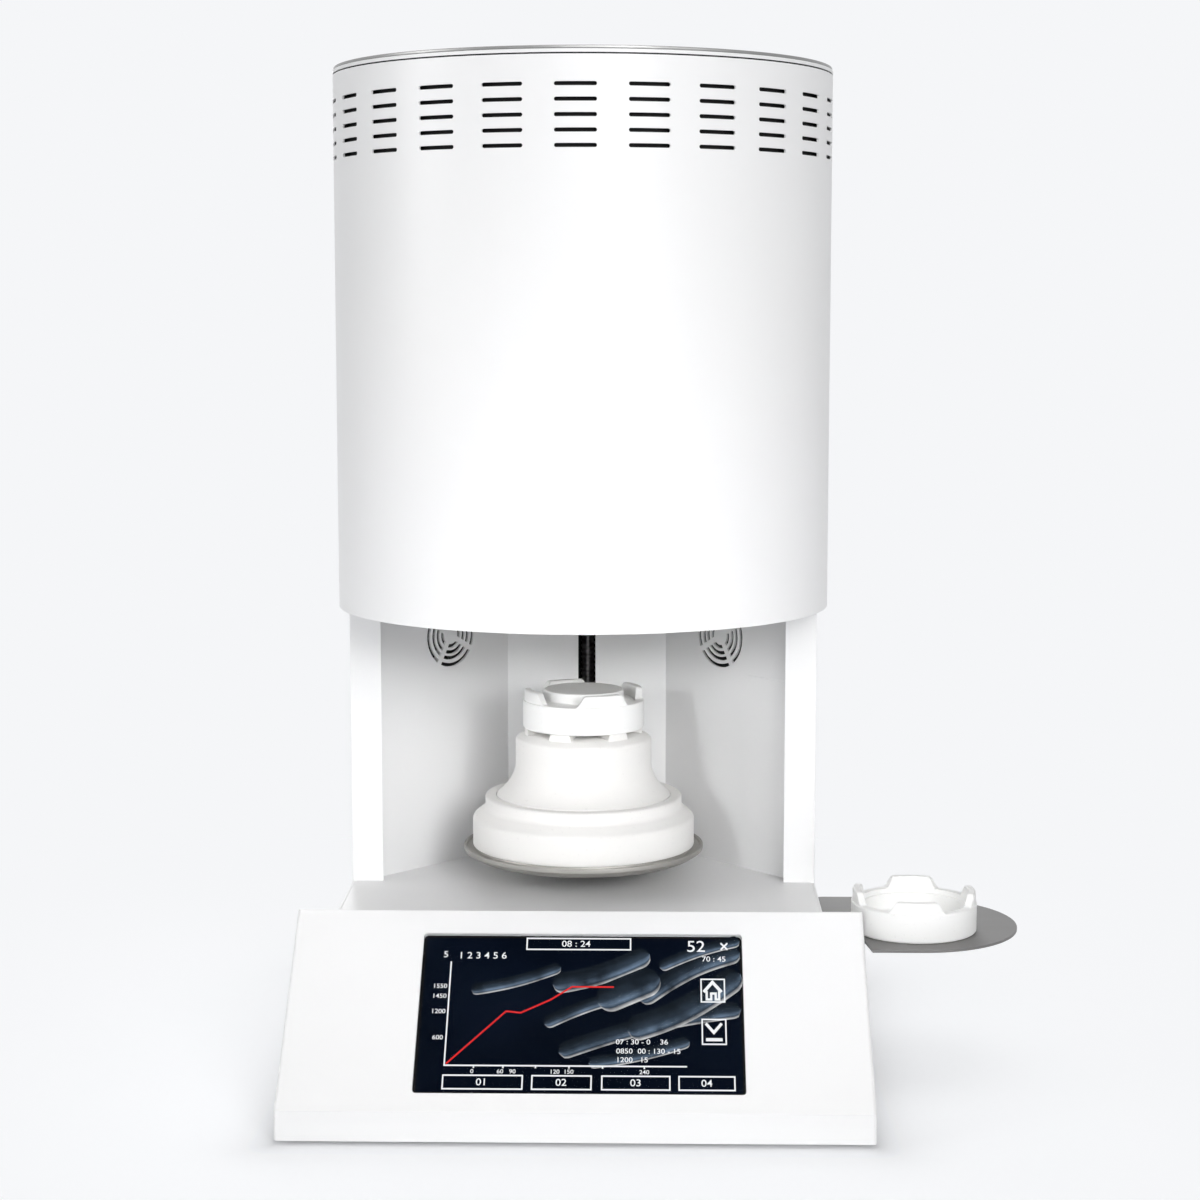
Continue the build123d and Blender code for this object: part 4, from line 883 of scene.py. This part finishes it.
class FURNACE_OT_fans(FurnaceStep):
    """Finishes the fan frames and rotors"""

    bl_idname = "furnace.fans"
    bl_label = "Fans"

    def build(self, scene):
        dress(
            ["fan_frame_left", "fan_frame_right"],
            finish("Fan frame plastic", (0.022, 0.022, 0.023, 1), 0.5, bump=0.1),
        )
        dress(
            ["fan_rotor_left", "fan_rotor_right"], finish("Rotor plastic", (0.035, 0.035, 0.036, 1), 0.38, bump=0.05),
        )


class FURNACE_OT_shelf(FurnaceStep):
    """Finishes the brushed side shelf and its bracket"""

    bl_idname = "furnace.shelf"
    bl_label = "Side shelf"

    def build(self, scene):
        dress(
            ["side_shelf"],
            finish("Brushed shelf", scene.furnace_colours.shelf, 0.46, "brush", metal=0.75, vary=0.04, scale=420.0),
            bevel=0.0003,
        )
        dress(["shelf_bracket"], zinc(), bevel=0.0003)


class FURNACE_OT_electrics(FurnaceStep):
    """Finishes the parts inside the base and on the rear cover, the switch among them"""

    bl_idname = "furnace.electrics"
    bl_label = "Electrics"

    def build(self, scene):
        dress(["control_board"], finish("Solder mask", (0.008, 0.075, 0.03, 1), 0.35, bump=0.05))
        dress(
            ["transformer"], finish("Varnished core", (0.09, 0.075, 0.06, 1), 0.45, "brush", metal=0.4, scale=400.0),
            bevel=0.0006,
        )
        dress(["heat_sink"], finish("Anodised fins", (0.05, 0.05, 0.052, 1), 0.4, "brush", metal=0.8))
        dress(["solid_state_relay"], finish("Relay case", (0.62, 0.6, 0.54, 1), 0.5), bevel=0.0006)
        dress(
            ["power_inlet", "fuse_holders", "switch_frame"],
            finish("Socket plastic", (0.014, 0.014, 0.015, 1), 0.5, bump=0.1), bevel=0.0003,
        )
        dress(["switch_rocker"], finish("Rocker plastic", (0.016, 0.016, 0.017, 1), 0.22, bump=0.02), bevel=0.0005)


# The page that the screen's drawing is laid out on: its left and top edge and its size, in page units.
PAGE_LEFT, PAGE_TOP, PAGE_WIDE, PAGE_TALL = 419.0, 934.0, 325.0, 159.0


class FURNACE_OT_screen(FurnaceStep):
    """Lights the touch screen: chart, curve, figures, icons, buttons and abstract bars behind the glass"""

    bl_idname = "furnace.screen"
    bl_label = "Touch screen"

    def plane(self):
        """The glass's outer face: its middle, its right and up directions, its normal and its size."""
        glass = NODES["display_glass"].data
        area, normal = np.zeros(len(glass.polygons)), np.zeros(len(glass.polygons) * 3)
        glass.polygons.foreach_get("area", area)
        glass.polygons.foreach_get("normal", normal)
        normal = normal.reshape(-1, 3)
        facing = normal[:, 2] > 0.3
        n = normal[facing][np.argmax(area[facing])]
        low, high = corners("display_glass")
        up = np.cross(n, [1.0, 0.0, 0.0])
        co = np.zeros(len(glass.vertices) * 3)
        glass.vertices.foreach_get("co", co)
        co = co.reshape(-1, 3)
        middle = (low + high) / 2
        along, out = (co - middle) @ up, (co - middle) @ n
        return middle + n * out.max(), np.array([1.0, 0, 0]), up, n, high[0] - low[0], np.ptp(along), np.ptp(out)

    def build(self, scene):
        p = scene.furnace_screen
        middle, right, up, out, wide, tall, thick = self.plane()
        turn = Matrix(np.stack([right, up, out], 1).tolist()).to_4x4()
        base = middle - out * (thick - 0.00003)
        scale_x, scale_y = wide / PAGE_WIDE, tall / PAGE_TALL

        def place(points, lift=0.0):
            """Points of the page (across, down), put just over the panel behind the glass."""
            q = np.atleast_2d(np.asarray(points, float))
            u = (q[:, 0] - PAGE_LEFT - PAGE_WIDE / 2) * scale_x
            v = -(q[:, 1] - PAGE_TOP - PAGE_TALL / 2) * scale_y
            return base + u[:, None] * right + v[:, None] * up + lift * out

        def stroke(points, width, lift, closed=False):
            """A flat band along a line: each point is moved half a width to both sides, square to the mitre
            of the two runs that meet there."""
            q = np.asarray(points, float)
            ahead = np.roll(q, -1, 0) - q
            if not closed:
                ahead[-1] = ahead[-2]
            ahead /= np.linalg.norm(ahead, axis=1)[:, None]
            back = np.roll(ahead, 1, 0)
            if not closed:
                back[0] = ahead[0]
            side = np.stack([-(ahead + back)[:, 1], (ahead + back)[:, 0]], 1)
            side /= np.linalg.norm(side, axis=1)[:, None]
            square = np.stack([-ahead[:, 1], ahead[:, 0]], 1)
            stretch = 1 / np.clip(np.abs((side * square).sum(1)), 0.4, 1)
            half = side * (width / scale_x / 2) * stretch[:, None]
            grid = np.stack([place(q - half, lift), place(q + half, lift)], 1)
            return skin("band", grid, wrap_rows=closed, smooth=0)

        def box(x0, y0, x1, y1):
            """The corners of a button."""
            return [(x0, y0), (x1, y0), (x1, y1), (x0, y1)]

        def figures(text, x, y, size, lift=0.0002):
            """Figures as flat letters, their left end at x and their middle at y."""
            curve = bpy.data.curves.new("figures", "FONT")
            curve.body, curve.size, curve.offset = text, size * scale_y, 0.00004
            curve.align_x, curve.align_y = "LEFT", "CENTER"
            made = bpy.data.objects.new("figures", curve)
            scene.collection.objects.link(made)
            bpy.context.view_layer.update()
            mesh = bpy.data.meshes.new_from_object(made)
            bpy.data.objects.remove(made)
            mesh.transform(Matrix.Translation(place([(x, y)], lift)[0].tolist()) @ turn)
            piece = bpy.data.objects.new("figures", mesh)
            scene.collection.objects.link(piece)
            return piece

        ink, red = lit("Screen ink", p.ink, p.glow), lit("Screen curve", p.curve, p.glow)
        line, over = p.line, 0.0001
        white = []
        for corner in (
            (524.5, 936.5, 630.5, 948), (447.5, 1074.5, 525.5, 1087.5), (535, 1074.5, 593, 1087.5),
            (603.5, 1074.5, 670, 1087.5), (679, 1074.5, 733.5, 1087.5), (702, 978, 725.5, 1001),
            (702.5, 1018.5, 726, 1043),
        ):
            white.append(stroke(box(*corner), line, over, True))
        # The chart's axes, a cross, an arrow up, a house, an arrow down over a bar, and the axis marks.
        house = [
            (707.5, 990), (707.5, 998.5), (712, 998.5), (712, 992.5), (716.5, 992.5), (716.5, 998.5), (720, 998.5),
            (720, 990),
        ]
        for points, weight in (
            ([(448, 961), (448, 1065), (687, 1065)], 1.0),
            ([(722.5, 940.5), (729.5, 947.5)], 1.2),
            ([(729.5, 940.5), (722.5, 947.5)], 1.2),
            ([(704.5, 991), (713.5, 981), (722.5, 991)], 2.2),
            (house, 1.6),
            ([(706, 1022.5), (714, 1031.5), (722, 1022.5)], 2.0),
            ([(706, 1038.5), (722.5, 1038.5)], 2.2),
            *(([(x, 1065), (x, 1067.5)], 1.0) for x in (477, 506, 538, 571, 604, 645)),
        ):
            white.append(stroke(points, line * weight, over))
        for text, x, y, size in (
            ("52", 687.5, 944.8, 16.5), ("08 : 24", 560, 942.4, 9), ("1 2 3 4 5 6", 455, 955, 9.5),
            ("5", 439.5, 954, 9), ("70 : 45", 703, 957.5, 7.5), ("1550", 431, 986.5, 6.2),
            ("1450", 431, 996.6, 6.2), ("1200", 431, 1012, 6.2), ("600", 434, 1038, 6.2),
            ("0", 474, 1070.8, 5.6), ("60   90", 500, 1070.8, 5.6), ("120  150", 552, 1070.8, 5.6),
            ("240", 640, 1070.8, 5.6), ("01", 480, 1081.2, 9.5), ("02", 558, 1081.2, 9.5),
            ("03", 631, 1081.2, 9.5), ("04", 700.5, 1081.2, 9.5), ("07 : 30 - 0    36", 616.5, 1041.5, 7),
            ("0850  00 : 130 - 15", 617, 1050.5, 7), ("1200   15", 617, 1059, 7),
        ):
            white.append(figures(text, x, y, size))
        finish_piece(join("screen_lines_and_figures", white), ink, "housing")
        course = [(449.7, 1063.5), (506.4, 1011.5), (521, 1013), (550.6, 999.7), (571.8, 986.5), (614, 986.5)]
        curve = stroke(course, line * 1.15, 0.00015)
        curve.name = "screen_curve"
        finish_piece(curve, red, "housing")
        self.ribbons(scene, place)
        # The black border and the dark ground, one flat sheet with rounded corners each.
        black = finish("Screen border", (0.0015, 0.0015, 0.0017, 1), 0.5, Specular_IOR_Level=0.1)
        centre = np.array([PAGE_LEFT + PAGE_WIDE / 2, PAGE_TOP + PAGE_TALL / 2])
        for name, inset, corner, lift, material in (
            ("screen_border", 0.0, 4.5, -0.00001, black),
            ("screen_ground", 2.6, 2.0, 0.00002, self.ground(scene)),
        ):
            # A rectangle with round corners: four corner middles, each with a quarter circle round it.
            quarter = np.arange(4)[:, None] * np.pi / 2
            arc, which = quarter + np.linspace(0, np.pi / 2, 9), quarter + np.pi / 4
            x = np.sign(np.cos(which)) * (PAGE_WIDE / 2 - inset - corner) + corner * np.cos(arc)
            y = np.sign(np.sin(which)) * (PAGE_TALL / 2 - inset - corner) + corner * np.sin(arc)
            rim = np.stack([x.ravel(), y.ravel()], 1) + centre
            grid = np.stack([place(np.broadcast_to(centre, rim.shape), lift), place(rim, lift)], 1)
            finish_piece(skin(name, grid, wrap_rows=True, smooth=0, flip=True), material, "housing")
        glass = finish("Screen glass", (1, 1, 1, 1), 0.04, bump=0.0, vary=0.0, IOR=1.05, Transmission_Weight=1.0)
        dress(["display_glass"], glass)
        dress(["display_panel"], finish("Panel plastic", (0.006, 0.006, 0.007, 1), 0.5))
        dress(["display_bracket"], zinc())

    def ground(self, scene):
        """The screen's dark ground: a slow cloud of tone from black to deep blue."""
        p = scene.furnace_screen
        material = lit("Screen ground", p.night, p.glow)
        tree = material.node_tree
        cloud = use_group(tree, "Fine grain", 14.0, 11.0)
        tone = mix_colour(tree, cloud.outputs["Patch"], shade(p.night, 0.25), shade(p.night, 2.2))
        tree.links.new(tone, tree.nodes["Principled BSDF"].inputs["Emission Color"])
        return material

    def ribbons(self, scene, place):
        """Abstract steel bars behind the chart: each runs along a line with round ends and one slight
        bend, and shades across its width as a rod does."""
        p = scene.furnace_screen
        material = lit("Screen ribbons", p.steel, p.glow)
        tree = material.node_tree
        layer = node(tree, "UVMap", uv_map="UVMap")
        split = node(tree, "SeparateXYZ")
        tree.links.new(layer.outputs[0], split.inputs[0])
        ramp = node(tree, "ValToRGB")
        for at, factor in ((0.0, 0.02), (0.2, 0.10), (0.55, 0.22), (0.76, 1.0), (0.86, 0.30), (1.0, 0.03)):
            inner = at not in (0.0, 1.0)
            stop = ramp.color_ramp.elements.new(at) if inner else ramp.color_ramp.elements[int(at)]
            stop.color = shade(p.steel, factor)
        tree.links.new(split.outputs[1], ramp.inputs[0])
        cloud = use_group(tree, "Fine grain", 60.0, 55.0)
        tone = node(tree, "Mix", data_type="RGBA", blend_type="MULTIPLY")
        tone.inputs["Factor"].default_value = 1.0
        tree.links.new(ramp.outputs[0], tone.inputs[6])
        dim = mix_colour(tree, spread(tree, cloud.outputs["Patch"], -0.6, 1.7), (0.1, 0.1, 0.1, 1), (1, 1, 1, 1))
        tree.links.new(dim, tone.inputs[7])
        tree.links.new(tone.outputs[2], tree.nodes["Principled BSDF"].inputs["Emission Color"])
        made = []
        along, across = np.linspace(0, 1, 48), np.linspace(-1, 1, 9)
        for x0, y0, x1, y1, width, bend in (
            (560, 1052, 742, 1008, 17, -6), (590, 1062, 690, 1040, 12, 3), (628, 1030, 742, 972, 26, 8),
            (545, 1024, 640, 992, 13, -4), (640, 1000, 742, 950, 20, -7), (470, 990, 560, 966, 12, 3),
            (552, 984, 650, 952, 21, 5), (660, 966, 742, 938, 12, -3), (598, 1002, 660, 976, 30, 0),
        ):
            line = np.stack([x0 + (x1 - x0) * along, y0 + (y1 - y0) * along + bend * np.sin(along * np.pi)], 1)
            side = np.gradient(line, axis=0)[:, ::-1] * [-1, 1]
            side /= np.linalg.norm(side, axis=1)[:, None]
            run = np.hypot(x1 - x0, y1 - y0)
            end = np.clip(np.minimum(along, 1 - along) * run / (width / 2), 0, 1)
            half = width / 2 * np.sqrt(1 - (1 - end) ** 2)
            grid = line[:, None] + side[:, None] * (half[:, None] * across)[..., None]
            points = place(grid.reshape(-1, 2), 0.00004 + 0.000005 * len(made))
            points = points.reshape(len(along), len(across), 3)
            uv = np.stack(np.meshgrid(along, (across + 1) / 2, indexing="ij"), -1)
            made.append(skin("ribbon", points, smooth=0, uv=uv))
        finish_piece(join("screen_ribbons", made), material, "housing")


class FURNACE_OT_stage(FurnaceStep):
    """Sets the camera, the pale floor and the soft studio light"""

    bl_idname = "furnace.stage"
    bl_label = "Stage"

    def build(self, scene):
        p = scene.furnace_stage
        camera = bpy.data.objects.new("Camera", bpy.data.cameras.new("Camera"))
        scene.collection.objects.link(camera)
        camera.data.lens, camera.data.sensor_width = p.lens, 36.0
        camera.location = (AXIS[0] + p.step, AXIS[1] - p.out, p.height)
        camera.rotation_euler = (math.pi / 2 - p.pitch, 0.0, -p.yaw)
        camera.data.clip_end = 50
        scene.camera = camera
        scene.view_settings.view_transform = "Standard"
        self.world(scene, p)
        self.floor(scene, p)
        middle, bay = (0, 0, 0.42), (-0.06, 0, 0.24)
        for name, place, aim, size, power, spread in (
            ("Key", (1.1, -2.9, 1.4), middle, 1.0, p.key, math.pi),
            ("Front", (0.0, -3.2, 1.4), middle, 1.2, p.front, math.pi),
            ("Top", (0.0, -0.5, 3.0), middle, 2.2, p.top, math.pi),
            ("Side", (-2.9, -0.9, 1.3), middle, 1.4, p.side, math.pi),
            ("Fill", (2.2, -1.9, 1.2), middle, 1.2, p.fill, math.pi),
            ("Back", (-0.4, 3.0, 1.5), middle, 1.6, p.back, math.pi),
            ("Bay left", (-1.3, -2.4, 0.85), bay, 0.5, p.bay, 0.3),
            ("Bay right", (1.3, -2.4, 0.85), bay, 0.5, p.bay, 0.3),
        ):
            lamp = bpy.data.lights.new(name, "AREA")
            lamp.shape, lamp.size, lamp.energy, lamp.spread = "DISK", size, power, spread
            light = bpy.data.objects.new(name, lamp)
            scene.collection.objects.link(light)
            light.location = place
            light.rotation_euler = (Vector(aim) - Vector(place)).to_track_quat("-Z", "Y").to_euler()

    def world(self, scene, p):
        """Even light for the object, and the pale background where the camera, gloss and glass look."""
        world = bpy.data.worlds.new("Studio")
        scene.world = world
        world.use_nodes = True
        tree = world.node_tree
        tree.nodes.clear()
        light, pale = node(tree, "Background", Strength=p.sky), node(tree, "Background", Strength=1.0)
        light.inputs[0].default_value = (0.985, 0.99, 1.0, 1)
        pale.inputs[0].default_value = p.ground
        mix_shaders(tree, looked_at(tree), light, pale, "OutputWorld")

    def floor(self, scene, p):
        """A wide round floor that fades to the background's colour away from the object but keeps its shadow."""
        r = np.array([0.0, 0.4, 0.8, 1.4, 2.5, 5.0, 12.0])
        a = np.linspace(0, 2 * np.pi, 96, endpoint=False)[:, None]
        grid = np.stack([r * np.sin(a), -r * np.cos(a), np.full((len(a), len(r)), -0.0002)], -1)
        ground = skin("studio_floor", grid, wrap_rows=True, smooth=0)
        material, tree = new_material("Studio floor")
        tree.nodes.clear()
        matt, glow = node(tree, "BsdfDiffuse"), node(tree, "Emission")
        matt.inputs[0].default_value = p.ground
        glow.inputs[0].default_value = p.ground
        # Distance from the housing's footprint: how far the place lies outside its half sizes.
        low, high = corners("console_cover")
        high[1] = CAD_BOX[1][1]
        low[2] = high[2] = 0.0
        half, middle = (high - low) / 2, (high + low) / 2
        away = ground_place = node(tree, "TexCoord").outputs["Object"]
        for operation, value in (
            ("SUBTRACT", middle), ("ABSOLUTE", None), ("SUBTRACT", half), ("MAXIMUM", (0, 0, 0)), ("LENGTH", None),
        ):
            step = node(tree, "VectorMath", operation=operation)
            tree.links.new(away, step.inputs[0])
            if value is not None:
                step.inputs[1].default_value = tuple(value)
            away = step.outputs["Value" if operation == "LENGTH" else "Vector"]
        # The matt share fades from the object outwards, and the glow makes up what the matt floor lacks.
        near = math_node(tree, "MAXIMUM", one_less(tree, math_node(tree, "DIVIDE", away, p.fade)), 0.0)
        share = math_node(tree, "MULTIPLY", math_node(tree, "POWER", near, 3.0), p.shadow)
        depth = node(tree, "SeparateXYZ")
        tree.links.new(ground_place, depth.inputs[0])
        loss = math_node(tree, "MULTIPLY", depth.outputs[1], p.floor_fall)
        light = math_node(tree, "SUBTRACT", p.floor_light, loss)
        lack = one_less(tree, math_node(tree, "MULTIPLY", share, light))
        fill = math_node(tree, "DIVIDE", lack, one_less(tree, share))
        # Right beside the housing the glow sinks too. This is a painted contact shadow, darker than the lamps' own
        # shadow there.
        contact = math_node(tree, "MULTIPLY", math_node(tree, "POWER", near, 30.0), p.contact)
        tree.links.new(math_node(tree, "MULTIPLY", fill, one_less(tree, contact)), glow.inputs["Strength"])
        mask = math_node(tree, "MULTIPLY", looked_at(tree), one_less(tree, share))
        mix_shaders(tree, mask, matt, glow, "OutputMaterial")
        ground.data.materials.append(material)


class FURNACE_PT_panel(bpy.types.Panel):
    """The furnace's steps in the sidebar"""

    bl_idname = "FURNACE_PT_panel"
    bl_label = "Dental Lab Furnace"
    bl_space_type = "VIEW_3D"
    bl_region_type = "UI"
    bl_category = "Furnace"

    def draw(self, context):
        for step in STEPS:
            self.layout.operator(step.bl_idname)


STEPS = (
    FURNACE_OT_stage,
    FURNACE_OT_head,
    FURNACE_OT_insulation,
    FURNACE_OT_ceramics,
    FURNACE_OT_housing,
    FURNACE_OT_lift,
    FURNACE_OT_fans,
    FURNACE_OT_shelf,
    FURNACE_OT_electrics,
    FURNACE_OT_screen,
)
CLASSES = tuple(GROUPS.values()) + STEPS + (FURNACE_PT_panel,)


def register():
    """Adds the classes and their settings to the scene."""
    for cls in CLASSES:
        bpy.utils.register_class(cls)
    for name, group in GROUPS.items():
        setattr(bpy.types.Scene, name, PointerProperty(type=group))


def unregister():
    """Takes the settings and the classes away again."""
    for name in GROUPS:
        delattr(bpy.types.Scene, name)
    for cls in reversed(CLASSES):
        bpy.utils.unregister_class(cls)


def main():
    """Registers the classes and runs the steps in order."""
    register()
    for step in STEPS:
        area, name = step.bl_idname.split(".")
        getattr(getattr(bpy.ops, area), name)()


if __name__ == "__main__":
    main()
